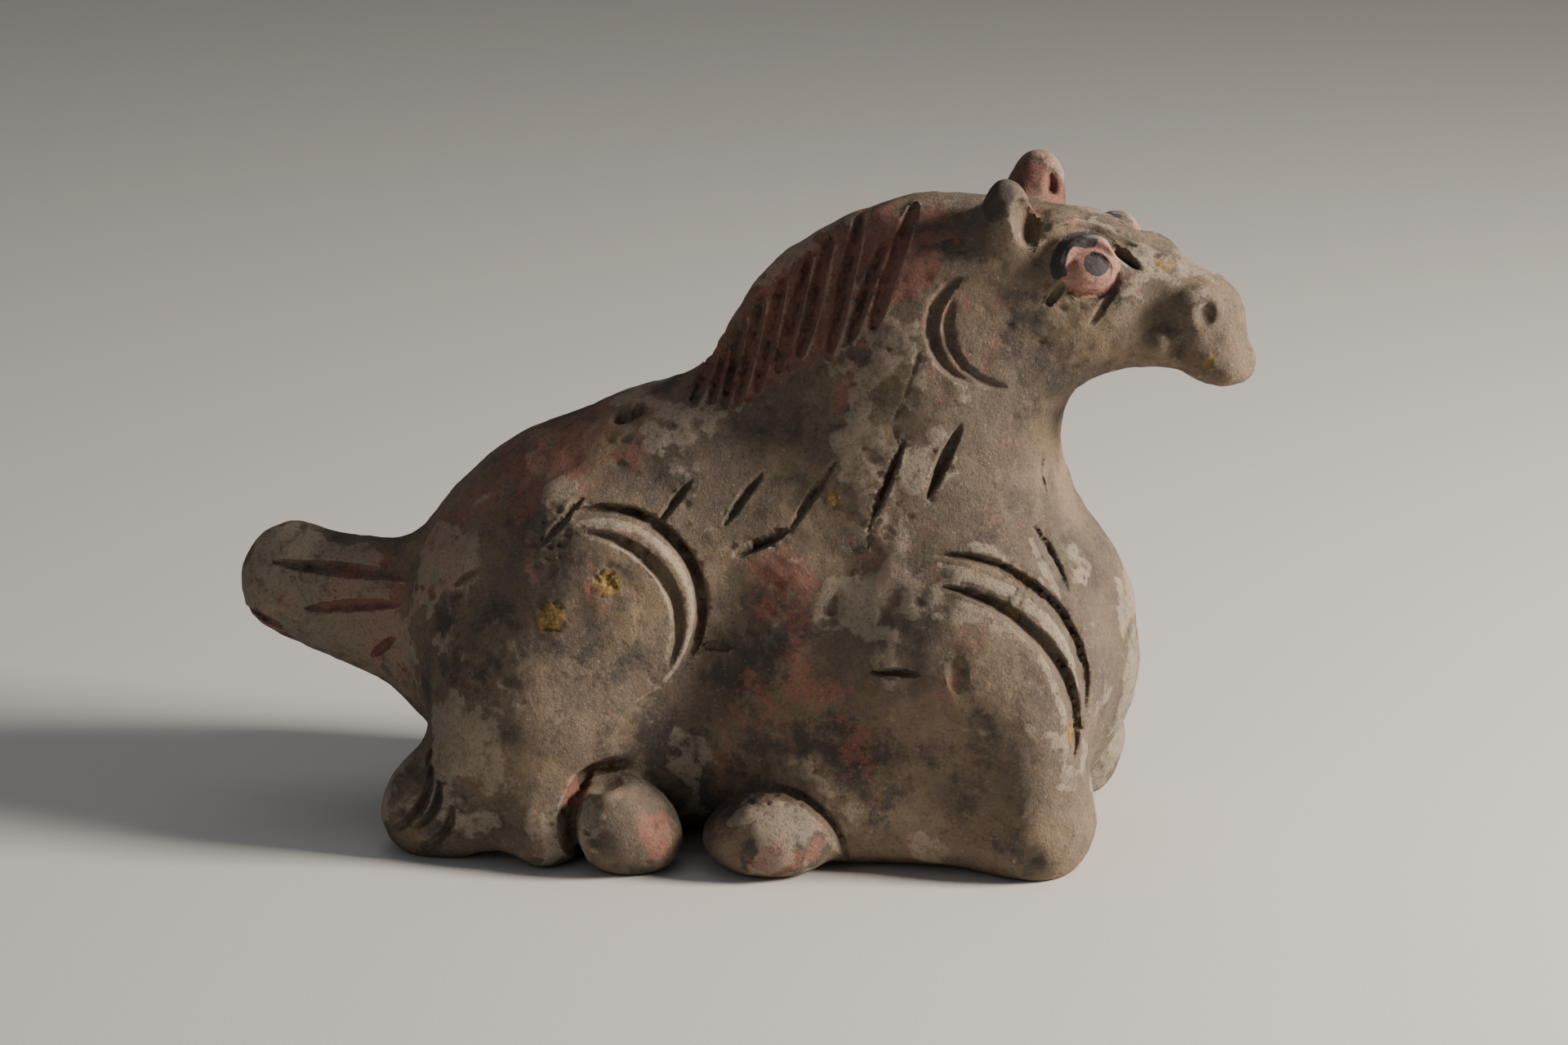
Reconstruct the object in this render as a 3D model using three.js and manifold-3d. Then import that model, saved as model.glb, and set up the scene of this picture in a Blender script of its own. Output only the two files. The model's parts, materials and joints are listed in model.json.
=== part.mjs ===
// A recumbent horse of grey earthenware, built up by hand in one piece and scored with a knife
// and a gouge before firing. It lies on its belly with its legs tucked under it, head up and
// turned a little to its right, tail cocked behind. Millimetres, +Z up, the horse facing +X.
//
// The figure is one body of clay, so it is one solid: lumps and rolls of clay are blended into
// each other as a field of distances, the hollows and tool marks are scored into that field,
// the surface is polygonised, thinned to the triangles it needs and cut off flat below.
import * as THREE from "three";
import { MarchingCubes } from "three/addons/objects/MarchingCubes.js";
import { mergeVertices } from "three/addons/utils/BufferGeometryUtils.js";
import Module from "manifold-3d";

const RIGHT = -1;
const LEFT = 1;
const DEG = Math.PI / 180;
const HALF_TURN = 180;

// Main sizes, from the middle of the barrel where it rests
const TAIL_REACH = 160; // back to the middle of the tail's tip, which sets the length
const HOOF_SPREAD = 56; // out to the middle of a hind hoof, which sets the width
const HEAD_HEIGHT = 182; // up to the middle of the skull, which sets the height
const HEAD_FORWARD = 90; // forward to the middle of the skull

// Trunk: lumps have a centre, three radii, a pitch and the width of their smoothed joint
const RUMP = { at: [-66, 0, 62], radii: [60, 50, 66], join: 0 };
const BARREL = { at: [0, 0, 58], radii: [84, 52, 63], join: 22 };
const CHEST = { at: [60, 0, 62], radii: [55, 51, 60], join: 22 };
const BACK = { at: [-29, 0, 104], radii: [60, 34, 41.5], pitch: -27, join: 28 };

// Neck and mane
const NECK = { at: [46, 0, 142], radii: [44, 36, 66], pitch: 12, join: 26 };
const CREST = { at: [27, 0, 162], radii: [53, 13, 37], pitch: -33, join: 16 };

// Legs, alike on both sides: rolls run between two ends and taper
const HAUNCH = { at: [-58, 30, 79], radii: [40, 26, 41], join: 8 };
const THIGH = { from: [-74, 38, 46], to: [-106, 42, 14], thick: [29, 14], join: 18 };
const HIND_SHANK = { from: [-108, 44, 12], to: [-72, 49, 14], thick: [13.5, 15], join: 16 };
const HEEL = { at: [-70.5, HOOF_SPREAD - 2, 13.5], radii: [12.5, 13, 15.5], join: 5 };
const HIND_HOOF = { at: [-42.5, HOOF_SPREAD, 14], radii: [18.5, 17, 16.5], join: 3 };
const FETLOCK = { at: [-48, 61, 25.5], radii: [5.5, 7, 4.5], join: 2 };
const SHOULDER = { at: [62, 32, 62], radii: [41, 28, 43], join: 12 };
const FOREARM = { from: [80, 43, 52], to: [86, 45, 16], thick: [19.5, 14.5], join: 8 };
const FORE_SHANK = { from: [84, 40, 15], to: [22, 42, 17], thick: [14, 16], join: 22 };
const FORE_HOOF = { at: [2, 53.5, 12.5], radii: [23, 17, 14], join: 4 };
const FAR_KNEE_LEAD = 5; // how much further forward the left foreleg lies

// Tail, a flattened paddle
const TAIL = {
  from: [-112, 0, 62], to: [-TAIL_REACH, 0, 75], thick: [26, 20], flat: 0.55, join: 14,
};

// Head, in its own frame: along the face, across, and up from the face
const HEAD = { at: [HEAD_FORWARD, -3, HEAD_HEIGHT], nod: 13, turn: -10, join: 16 };
const SKULL = { at: [-1, 0, 2], radii: [32, 23, 22], join: 14 };
const CHEEK = { at: [-6, 10, -10], radii: [27, 15, 22], join: 12 };
const FACE = { at: [23, 0, 0], radii: [34, 17, 19], join: 12 };
const NOSE = { at: [46.3, 0, 1], radii: [12.8, 13.5, 12.6], join: 6 };
const LIP = { at: [53.5, 0, -9], radii: [12, 12.5, 8.8], join: 6 };
const FAR_BROW = { at: [23.5, 11, 15.6], radii: [7.5, 6.5, 5], pitch: 10, join: 4 };
const NOSTRIL = { at: [44.4, 11, 6.6], radii: [6.5, 5, 7], join: 3 };
const LIP_CORNER = { at: [35.8, 12.8, -6], radii: [4.6, 3.8, 4.2], join: 2 };
const FORELOCK = { at: [-4, -11, 17.5], radii: [8, 9.5, 7.5], join: 3 };
const NEAR_EAR = { at: [-18.5, -19.5, 20.5], radii: [7.6, 7, 12.5], pitch: -30, join: 4 };
const FAR_EAR = { at: [-19, 18, 21], radii: [8.8, 7, 13.8], pitch: -12, join: 5 };

// Hollows, pressed in as lumps; join is the softness of their lips
const NEAR_EAR_CUP = { at: [-12.6, -22.5, 20.5], radii: [3.5, 8.5, 7.6], pitch: -27, join: 0.7 };
const FAR_EAR_CUP = { at: [-14.6, 10.5, 25], radii: [2.3, 5.8, 8], pitch: -12, join: 0.6 };
const FACE_HOLLOW = { at: [34, 22, 2], radii: [7.5, 7.5, 11], join: 7 };
const NOSTRIL_PIT = { at: [48.5, 17, 7.6], radii: [3.9, 5.5, 5], join: 1.2 };
const MOUTH_CORNER = { at: [41.2, 17, -7.4], radii: [2.6, 5.5, 6.2], pitch: 15, join: 1.2 };
const MOUTH = { from: [45, -8.6], to: [60, -12], wide: 3.4, deep: 0.8 };
const VENT = { at: [-48, -15, 138], radii: [5.6, 3.2, 7], join: 1 };
const WAIST = { at: [-17, 61, 62], radii: [11, 14, 40], pitch: 12, join: 22 };
const FETLOCK_HOLLOW = { at: [-50.5, 58, 30.5], radii: [10, 12, 4.6], pitch: -12, join: 1.5 };
const HIND_ARCH = { at: [-84, 58, -3], radii: [12, 15, 7], join: 3 };
const FORE_ARCH = { at: [46, 60, -3.5], radii: [25, 15, 7], join: 4 };

const HEAD_BEHIND = 20; // no clay of the head lies behind this X
const HEAD_BELOW = 110; // nor below this Z

// Eyes, in a plane that faces out and up from the head
const EYE = { at: [10.5, -19.4, 12.8], facing: [0.2, -0.87, 0.42], roll: 17 };
const EYE_REACH = 26; // how far around an eye its carving is looked for
const EYE_MOUND = { at: [-1.2, 0.6, -2], radii: [10.4, 10, 7.5], join: 3 };
const EYE_OPENING = { at: [-1.2, -2, 5.4], radii: [8.5, 6.5, 5], join: 1.2 };
const EYEBALL = { at: [-1.4, -1.8, 1], radii: [6.8, 5.2, 5.2], join: 0.5 };
const UPPER_LID = { centre: [-1.3, -0.2], radius: 8.2, start: 20, end: 200, wide: 7, deep: -2.4 };
const LOWER_LID = { centre: [-1.2, -0.2], radius: 9.2, start: 215, end: 352, wide: 5, deep: 2.4 };
const BROW_CREASE = { centre: [-3, -3], radius: 15, start: 46, end: 184, wide: 5.4, deep: 1.3 };
const BROW_FOLD = { centre: [-3, -3], radius: 18, start: 50, end: 138, wide: 6, deep: -0.9 };
const TEAR_SLOT = { from: [4.5, 8.1], to: [15.4, -1.4], wide: 5.6, deep: 4 };
const OUTER_CORNER = { from: [-8.6, -4.6], to: [-14.4, -13.4], wide: 5, deep: 2.4 };
const CHEEK_CREASE = { from: [9, -3], to: [-0.6, -19], wide: 5, deep: 1.6 };

// Gouged arcs and the ribs raised between them (a depth below zero), centre in X and Z, angles
// from +X towards +Z
const ARCS = {
  haunchRib: { centre: [-55.2, 79.8], radius: 31, start: -24, end: 98, wide: 7, deep: -1.1 },
  haunchOuter: { centre: [-53, 81.5], radius: 31.8, start: -30, end: 108, wide: 6.4, deep: 4.2 },
  haunchInner: { centre: [-57.5, 78], radius: 30, start: -26, end: 88, wide: 5.2, deep: 3 },
  shoulderRib: { centre: [53.2, 53], radius: 45.9, start: -4, end: 86, wide: 7.6, deep: -0.8 },
  shoulderOuter: { centre: [55.5, 58], radius: 44.8, start: -6, end: 93, wide: 5, deep: 3.2 },
  shoulderInner: { centre: [50.8, 48], radius: 47, start: -10, end: 84, wide: 5.8, deep: 3.6 },
  cheekRib: { centre: [71, 173.2], radius: 18.2, start: 138, end: 262, wide: 6.4, deep: -1.1 },
  cheekOuter: { centre: [67.8, 173.2], radius: 17.2, start: 122, end: 268, wide: 7, deep: 2.6 },
  cheekInner: { centre: [74.6, 173.5], radius: 19.2, start: 158, end: 268, wide: 6.4, deep: 2.2 },
  foreCrease: { centre: [5.5, 6], radius: 20.8, start: -8, end: 116, wide: 4.4, deep: 2.4 },
  hindCrease: { centre: [-32, 16], radius: 28.5, start: 146, end: 214, wide: 8, deep: 2.6 },
};

// The haunch swells towards a crisp rim
const HAUNCH_RIM = {
  centre: [-53, 81.5], radius: 32, edge: 2.6, start: -95, end: 135, high: 2.2, rise: 0.35, fade: 60,
};

// Knife strokes of the mane, foot to crest, nose end last
const MANE = [
  { from: [-27.5, 142], to: [-20.5, 159], wide: 4.7 },
  { from: [-21.3, 143], to: [-17.6, 161], wide: 3.9 },
  { from: [-16.9, 142], to: [-12.2, 170], wide: 5 },
  { from: [-12.6, 143], to: [-5.6, 177], wide: 5 },
  { from: [-6.5, 147], to: [1, 183], wide: 4.7 },
  { from: [0.3, 154], to: [9.6, 191], wide: 4.7 },
  { from: [7.3, 159], to: [16, 196], wide: 5.2 },
  { from: [17.4, 162], to: [25.6, 202], wide: 5.5 },
  { from: [23.5, 166], to: [34, 196], wide: 4.7 },
  { from: [31.4, 171], to: [42.6, 208], wide: 5.8 },
];
const MANE_DEPTH = 2.8;
const MANE_TAPER = 0.25;

// Slashes along the flank, foot to head
const SLASHES = [
  { from: [-70.6, 103.4], to: [-58.2, 117.2], wide: 4, deep: 2.4 },
  { from: [-35.8, 108.4], to: [-24.4, 122.4], wide: 4.2, deep: 2.4 },
  { from: [-14.8, 108.6], to: [-2.6, 124.8], wide: 4.4, deep: 2.6 },
  { from: [6, 107.4], to: [21, 129.8], wide: 4.3, deep: 2.6 },
  { from: [32.4, 111.6], to: [42.4, 138], wide: 4.9, deep: 3 },
  { from: [49.4, 118.6], to: [59.9, 142.8], wide: 5.8, deep: 3.4 },
  { from: [82.2, 110], to: [94.2, 90.4], wide: 4, deep: 1.9 },
];

// Hair behind the hocks
const HAIR_TIP = { from: [-107, 35.5], to: [-108.4, 29.5], wide: 3.2, deep: 1.6 };
const HAIR = [
  { centre: [-127.4, 29], radius: 21, start: -68, end: 6, wide: 4.4, deep: 2.6 },
  { centre: [-117, 24.7], radius: 14, start: -70, end: 10, wide: 4, deep: 2.3 },
  { centre: [-112.8, 19], radius: 14, start: -78, end: 6, wide: 4.4, deep: 2.6 },
];

// Lines that draw the tail together
const TAIL_TOP = { from: [-168, 83.6], to: [-122, 80.6], wide: 6, deep: 3.4 };
const TAIL_LOW = { from: [-157, 68.6], to: [-124, 72.4], wide: 5.4, deep: 3 };
const TAIL_NICK = { from: [-125.6, 61.5], to: [-135, 52.8], wide: 4.4, deep: 2.4 };
const TAIL_NOTCH = { from: [-178, 67], to: [-165, 60.5], wide: 4.6, deep: 2.2 };

// Where the thin wall has given way on the right flank, two slits and a thumb mark
const BREAK = { from: [-11.4, 99.4], to: [5.8, 108.2], wide: 5.6, deep: 7 };
const SLIT = { from: [33.6, 67.6], to: [50.4, 68.8], wide: 4.2, deep: 3.2 };
const SLOT = { from: [-19.6, 70.4], to: [-11, 70.6], wide: 3.6, deep: 2.4 };
const THUMB = { from: [61.7, 62.6], to: [61.7, 74.8], wide: 8.4, deep: 1.3 };

// No mark reaches deeper than this; the marks fade out towards the middle seam
const DEEPEST = 9;
const SEAM_FADE = 3;
const STROKE_TAPER = 0.55; // how a stroke narrows to its ends, 0 for not at all
const SWEEP_TAPER = 0.7;

// Fineness of the surface
const VOXEL = 1.6;
const TRIANGLES = 9400;
const SPREAD = { x: [-186, 158], y: [-82, 82], z: [-8, 232] };
const BLOCK = 4;
const CORNERS = 400000; // room for the first mesh
const FACE_FROM = [50, 150]; // the head lies beyond this X and Z and is kept finer
const FACE_CARE = 8;
const STEP = 0.2;
const FAR_OFF = 1000; // further than any clay

// The board the clay stood on, which leaves it flat below
const BOARD = { long: 600, wide: 400, thick: 60 };

// Rises smoothly from 0 to 1
function eased(t) {
  const kept = Math.min(1, Math.max(0, t));
  return kept * kept * (3 - 2 * kept);
}

// How far a point lies outside a lump
function lump({ at, radii, pitch = 0 }) {
  const [cx, cy, cz] = at;
  const [rx, ry, rz] = radii;
  const c = Math.cos(pitch * DEG);
  const s = Math.sin(pitch * DEG);
  return (x, y, z) => {
    const dx = x - cx;
    const dz = z - cz;
    const qx = (dx * c - dz * s) / rx;
    const qy = (y - cy) / ry;
    const qz = (dx * s + dz * c) / rz;
    const k = Math.sqrt(qx * qx + qy * qy + qz * qz);
    const g = Math.sqrt((qx / rx) ** 2 + (qy / ry) ** 2 + (qz / rz) ** 2);
    return g > 0 ? (k * (k - 1)) / g : -Math.min(rx, ry, rz);
  };
}

// How far a point lies outside a roll of clay, which may be flattened across
function roll({ from, to, thick, flat = 1 }) {
  const [ax, ay, az] = from;
  const [bx, by, bz] = [to[0] - ax, to[1] - ay, to[2] - az];
  const length2 = bx * bx + by * by + bz * bz;
  return (x, y, z) => {
    const px = x - ax;
    const py = y - ay;
    const pz = z - az;
    const t = Math.min(1, Math.max(0, (px * bx + py * by + pz * bz) / length2));
    const radius = thick[0] + (thick[1] - thick[0]) * eased(t);
    const across = (py - t * by) / flat;
    return Math.sqrt((px - t * bx) ** 2 + across * across + (pz - t * bz) ** 2) - radius;
  };
}

// Two distances smoothed together over a width k, as a thumb smooths a joint
function smoothed(a, b, k) {
  const h = k - Math.abs(a - b);
  return Math.min(a, b) - (h > 0 ? (h * h) / (4 * k) : 0);
}

// A tool mark is deepest half way along and half way across
const across = (offset, half) => (half > 0 ? Math.max(0, 1 - (offset / half) ** 2) ** 2 : 0);

// A straight stroke in a plane; a small taper leaves its ends blunt
function stroke({ from, to, wide, deep, taper = STROKE_TAPER }) {
  const [ax, az] = from;
  const [bx, bz] = [to[0] - ax, to[1] - az];
  const length2 = bx * bx + bz * bz;
  const length = Math.sqrt(length2);
  return (x, z) => {
    const offset = Math.abs((x - ax) * bz - (z - az) * bx) / length;
    if (offset >= wide / 2) return 0;
    const t = ((x - ax) * bx + (z - az) * bz) / length2;
    if (t <= 0 || t >= 1) return 0;
    const swell = (4 * t * (1 - t)) ** taper;
    return deep * swell * across(offset, (wide / 2) * swell);
  };
}

// Degrees between a direction and the middle of an arc
function aside(x, z, centre, middle) {
  const angle = Math.atan2(z - centre[1], x - centre[0]) / DEG;
  return Math.abs(THREE.MathUtils.euclideanModulo(angle - middle + HALF_TURN, 2 * HALF_TURN)
    - HALF_TURN);
}

// A stroke along an arc
function sweep({ centre, radius, start, end, wide, deep }) {
  const reach = (end - start) / 2;
  return (x, z) => {
    const offset = Math.sqrt((x - centre[0]) ** 2 + (z - centre[1]) ** 2) - radius;
    if (Math.abs(offset) >= wide / 2) return 0;
    const off = aside(x, z, centre, (start + end) / 2) / reach;
    if (off >= 1) return 0;
    const swell = Math.sqrt(1 - off * off);
    return deep * swell * across(offset, (wide / 2) * swell ** SWEEP_TAPER);
  };
}

// A disc that swells towards a crisp rim along part of its edge
function swelling({ centre, radius, edge, start, end, high, rise, fade }) {
  const reach = (end - start) / 2;
  return (x, z) => {
    const out = Math.sqrt((x - centre[0]) ** 2 + (z - centre[1]) ** 2);
    if (out >= radius) return 0;
    const lift = eased((out - rise * radius) / (radius * (1 - rise) - edge));
    const drop = eased((radius - out) / edge);
    const off = aside(x, z, centre, (start + end) / 2);
    return -high * lift * drop * eased((reach - off) / fade);
  };
}

const blended = (part) => [part.radii ? lump(part) : roll(part), part.join];
const hollowed = (part) => [lump(part), part.join];
const trunk = [RUMP, BARREL, CHEST, BACK, NECK, CREST, TAIL].map(blended);
const hindLeg = [HAUNCH, THIGH, HIND_SHANK, HEEL, HIND_HOOF, FETLOCK].map(blended);
const foreLeg = [SHOULDER, FOREARM, FORE_SHANK, FORE_HOOF].map(blended);
const sideHollows = [WAIST, FETLOCK_HOLLOW, HIND_ARCH, FORE_ARCH].map(hollowed);
const vent = lump(VENT);
const headMiddle = [SKULL, FACE, NOSE, LIP, NEAR_EAR, FAR_EAR, FAR_BROW].map(blended);
const cheek = lump(CHEEK);
const faceHollow = lump(FACE_HOLLOW);
const headSides = [NOSTRIL, LIP_CORNER].map(blended);
const earCups = [NEAR_EAR_CUP, FAR_EAR_CUP].map(hollowed);
const forelock = lump(FORELOCK);
const headSideHollows = [NOSTRIL_PIT, MOUTH_CORNER].map(hollowed);
const mouth = stroke(MOUTH);
const eyeMound = lump(EYE_MOUND);
const eyeOpening = lump(EYE_OPENING);
const eyeball = lump(EYEBALL);
const eyeMarks = [
  ...[UPPER_LID, LOWER_LID, BROW_CREASE, BROW_FOLD].map(sweep),
  ...[TEAR_SLOT, OUTER_CORNER, CHEEK_CREASE].map(stroke),
];
const bothSides = [
  swelling(HAUNCH_RIM),
  ...Object.values(ARCS).map(sweep),
  ...SLASHES.map(stroke),
  ...MANE.map((mark) => stroke({ ...mark, deep: MANE_DEPTH, taper: MANE_TAPER })),
  ...HAIR.map(sweep),
  ...[HAIR_TIP, TAIL_TOP, TAIL_LOW, TAIL_NICK, TAIL_NOTCH].map(stroke),
];
const rightOnly = [BREAK, SLIT, SLOT, THUMB].map(stroke);

// Turns a placed frame into a function from outer to inner coordinates
function inward(matrix) {
  const e = matrix.clone().invert().elements;
  return (x, y, z) => [
    e[0] * x + e[4] * y + e[8] * z + e[12],
    e[1] * x + e[5] * y + e[9] * z + e[13],
    e[2] * x + e[6] * y + e[10] * z + e[14],
  ];
}
const headFrame = inward(
  new THREE.Matrix4().makeTranslation(...HEAD.at)
    .multiply(new THREE.Matrix4().makeRotationZ(HEAD.turn * DEG))
    .multiply(new THREE.Matrix4().makeRotationY(HEAD.nod * DEG)),
);
const eyeFrame = inward((() => {
  const out = new THREE.Vector3(...EYE.facing).normalize();
  const along = new THREE.Vector3(1, 0, 0).addScaledVector(out, -out.x).normalize();
  const basis = new THREE.Matrix4().makeBasis(along, out.clone().cross(along), out);
  return new THREE.Matrix4().makeTranslation(...EYE.at)
    .multiply(basis)
    .multiply(new THREE.Matrix4().makeRotationZ(EYE.roll * DEG));
})());

// The deepest cut less the highest raised form
function deepest(marks, x, z) {
  let cut = 0;
  let raised = 0;
  for (const mark of marks) {
    const here = mark(x, z);
    cut = Math.max(cut, here);
    raised = Math.min(raised, here);
  }
  return cut + raised;
}

const pressed = (d, hollow, join) => -smoothed(-d, hollow, join);

function headClay(x, y, z) {
  const [h, l, u] = headFrame(x, y, z);
  const side = Math.abs(l);
  let d = FAR_OFF;
  for (const [shape, join] of headMiddle) d = smoothed(d, shape(h, l, u), join);
  d = smoothed(d, cheek(h, side, u), CHEEK.join);
  d = pressed(d, faceHollow(h, side, u), FACE_HOLLOW.join);
  for (const [shape, join] of headSides) d = smoothed(d, shape(h, side, u), join);
  d = smoothed(d, forelock(h, l, u), FORELOCK.join);
  for (const [hollow, join] of earCups) d = pressed(d, hollow(h, l, u), join);
  for (const [hollow, join] of headSideHollows) d = pressed(d, hollow(h, side, u), join);
  d += mouth(h, u);
  const [a, b, out] = eyeFrame(h, -side, u);
  if (a * a + b * b < EYE_REACH ** 2 && Math.abs(out) < EYE_REACH / 2) {
    d = smoothed(d, eyeMound(a, b, out), EYE_MOUND.join) + deepest(eyeMarks, a, b);
    d = pressed(d, eyeOpening(a, b, out), EYE_OPENING.join);
    d = smoothed(d, eyeball(a, b, out), EYEBALL.join);
  }
  return d;
}

function clay(x, y, z) {
  let d = FAR_OFF;
  for (const [shape, join] of trunk) d = smoothed(d, shape(x, y, z), join);
  const side = Math.abs(y);
  const lead = y > 0 ? FAR_KNEE_LEAD : 0;
  for (const [shape, join] of hindLeg) d = smoothed(d, shape(x, side, z), join);
  for (const [shape, join] of foreLeg) d = smoothed(d, shape(x - lead, side, z), join);
  if (x > HEAD_BEHIND && z > HEAD_BELOW) d = smoothed(d, headClay(x, y, z), HEAD.join);
  if (Math.abs(d) > DEEPEST) return d;
  for (const [hollow, join] of sideHollows) d = pressed(d, hollow(x, side, z), join);
  d = pressed(d, vent(x, y, z), VENT.join);
  const fade = Math.min(1, side / SEAM_FADE);
  d += fade * deepest(bothSides, x, z);
  if (y < 0) d += deepest(rightOnly, x, z);
  return d;
}

// Draws each corner of a mesh down its slope on to the surface of the field
function settled(geometry, field) {
  const p = geometry.getAttribute("position").array;
  for (let i = 0; i < p.length; i += 3) {
    for (let pass = 0; pass < 2; pass++) {
      const [x, y, z] = [p[i], p[i + 1], p[i + 2]];
      const d = field(x, y, z);
      const gx = (field(x + STEP, y, z) - d) / STEP;
      const gy = (field(x, y + STEP, z) - d) / STEP;
      const gz = (field(x, y, z + STEP) - d) / STEP;
      const pull = d / Math.max(gx * gx + gy * gy + gz * gz, 0.5);
      const kept = Math.max(-VOXEL / 2, Math.min(VOXEL / 2, pull));
      p[i] -= gx * kept;
      p[i + 1] -= gy * kept;
      p[i + 2] -= gz * kept;
    }
  }
  return geometry;
}

// Polygonises the field on a cubic grid; blocks far from the surface are filled, not sampled
function polygonise(field, spread, voxel) {
  const spans = [spread.x, spread.y, spread.z];
  const widest = Math.max(...spans.map(([low, high]) => high - low));
  const size = BLOCK * Math.ceil(widest / voxel / BLOCK + 1);
  const grid = new MarchingCubes(size, new THREE.Material(), false, false, CORNERS);
  const centre = spans.map(([low, high]) => (low + high) / 2);
  const at = (i, axis) => centre[axis] + (i - size / 2) * voxel;
  const half = (BLOCK * voxel) / 2;
  grid.isolation = 0;
  for (let k0 = 0; k0 < size; k0 += BLOCK) {
    for (let j0 = 0; j0 < size; j0 += BLOCK) {
      for (let i0 = 0; i0 < size; i0 += BLOCK) {
        const middle = field(at(i0, 0) + half, at(j0, 1) + half, at(k0, 2) + half);
        const near = Math.abs(middle) < 3.5 * half;
        for (let k = k0; k < k0 + BLOCK; k++) {
          for (let j = j0; j < j0 + BLOCK; j++) {
            for (let i = i0; i < i0 + BLOCK; i++) {
              const value = near ? field(at(i, 0), at(j, 1), at(k, 2)) : middle;
              grid.field[(k * size + j) * size + i] = -value;
            }
          }
        }
      }
    }
  }
  grid.update();
  const soup = new THREE.BufferGeometry();
  const used = grid.geometry.getAttribute("position").array.slice(0, grid.count * 3);
  soup.setAttribute("position", new THREE.BufferAttribute(used, 3));
  const scale = (size * voxel) / 2;
  soup.scale(scale, scale, scale).translate(...centre);
  return settled(mergeVertices(soup, 0.01), field);
}

// Thins a closed mesh to a budget of triangles. The edge whose loss moves the surface least
// goes first, so smooth clay keeps few triangles and the tool marks keep many. Care says how
// much a loss counts at a place in X and Z.
class Thinner {
  constructor(geometry, care) {
    this.care = care;
    this.at = Float64Array.from(geometry.getAttribute("position").array);
    this.faces = Int32Array.from(geometry.index.array);
    const count = this.at.length / 3;
    this.quadrics = new Float64Array(count * 10);
    this.around = Array.from({ length: count }, () => []);
    this.stamp = new Int32Array(count);
    this.costs = [];
    this.edges = [];
    this.best = [0, 0, 0];
    this.left = 0;
    for (let f = 0; f < this.faces.length; f += 3) this.addFace(f);
    for (let f = 0; f < this.faces.length; f += 3) {
      for (let n = 0; n < 3 && this.faces[f] >= 0; n++) {
        const [u, v] = [this.faces[f + n], this.faces[f + ((n + 1) % 3)]];
        if (u < v) this.offer(u, v);
      }
    }
  }

  normal(a, b, c, out) {
    const p = this.at;
    const [x, y, z] = [p[a], p[a + 1], p[a + 2]];
    const [ux, uy, uz] = [p[b] - x, p[b + 1] - y, p[b + 2] - z];
    const [vx, vy, vz] = [p[c] - x, p[c + 1] - y, p[c + 2] - z];
    out[0] = uy * vz - uz * vy;
    out[1] = uz * vx - ux * vz;
    out[2] = ux * vy - uy * vx;
  }

  addFace(f) {
    const [a, b, c] = this.faces.subarray(f, f + 3);
    if (a === b || b === c || c === a) {
      this.faces[f] = -1;
      return;
    }
    const n = [0, 0, 0];
    this.normal(3 * a, 3 * b, 3 * c, n);
    const area = Math.hypot(...n) || 1;
    const [x, y, z] = n.map((t) => t / area);
    const w = -(x * this.at[3 * a] + y * this.at[3 * a + 1] + z * this.at[3 * a + 2]);
    const terms = [x * x, x * y, x * z, x * w, y * y, y * z, y * w, z * z, z * w, w * w];
    const care = this.care(this.at[3 * a], this.at[3 * a + 2]) * area;
    for (const v of [a, b, c]) {
      for (let t = 0; t < 10; t++) this.quadrics[v * 10 + t] += terms[t] * care;
      this.around[v].push(f);
    }
    this.left++;
  }

  // Where the point that replaces edge u-v lies best, left in this.best, and what it costs
  price(u, v) {
    const q = this.quadrics;
    const [i, j] = [u * 10, v * 10];
    const [a, b, c, d] = [q[i] + q[j], q[i + 1] + q[j + 1], q[i + 2] + q[j + 2], q[i + 3] + q[j + 3]];
    const [e, f, g] = [q[i + 4] + q[j + 4], q[i + 5] + q[j + 5], q[i + 6] + q[j + 6]];
    const [h, k, w] = [q[i + 7] + q[j + 7], q[i + 8] + q[j + 8], q[i + 9] + q[j + 9]];
    const p = this.at;
    const mx = (p[3 * u] + p[3 * v]) / 2;
    const my = (p[3 * u + 1] + p[3 * v + 1]) / 2;
    const mz = (p[3 * u + 2] + p[3 * v + 2]) / 2;
    const span = (p[3 * u] - p[3 * v]) ** 2 + (p[3 * u + 1] - p[3 * v + 1]) ** 2
      + (p[3 * u + 2] - p[3 * v + 2]) ** 2;
    const [c0, c1, c2] = [e * h - f * f, c * f - b * h, b * f - c * e];
    const det = a * c0 + b * c1 + c * c2;
    let [x, y, z] = [mx, my, mz];
    if (Math.abs(det) > 1e-3 * (a + e + h) ** 3 * 0.01) {
      const [e0, e1, e2] = [a * h - c * c, b * c - a * f, a * e - b * b];
      const sx = -(c0 * d + c1 * g + c2 * k) / det;
      const sy = -(c1 * d + e0 * g + e1 * k) / det;
      const sz = -(c2 * d + e1 * g + e2 * k) / det;
      if ((sx - mx) ** 2 + (sy - my) ** 2 + (sz - mz) ** 2 < 4 * span) [x, y, z] = [sx, sy, sz];
    }
    this.best = [x, y, z];
    const error = a * x * x + e * y * y + h * z * z + w
      + 2 * (b * x * y + c * x * z + f * y * z + d * x + g * y + k * z);
    return Math.max(error, 0) + 1e-3 * span;
  }

  offer(u, v) {
    const cost = this.price(u, v);
    const { costs, edges } = this;
    const edge = [u, v, this.stamp[u], this.stamp[v]];
    let i = costs.length;
    while (i > 0) {
      const up = (i - 1) >> 1;
      if (costs[up] <= cost) break;
      costs[i] = costs[up];
      edges[i] = edges[up];
      i = up;
    }
    costs[i] = cost;
    edges[i] = edge;
  }

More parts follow.
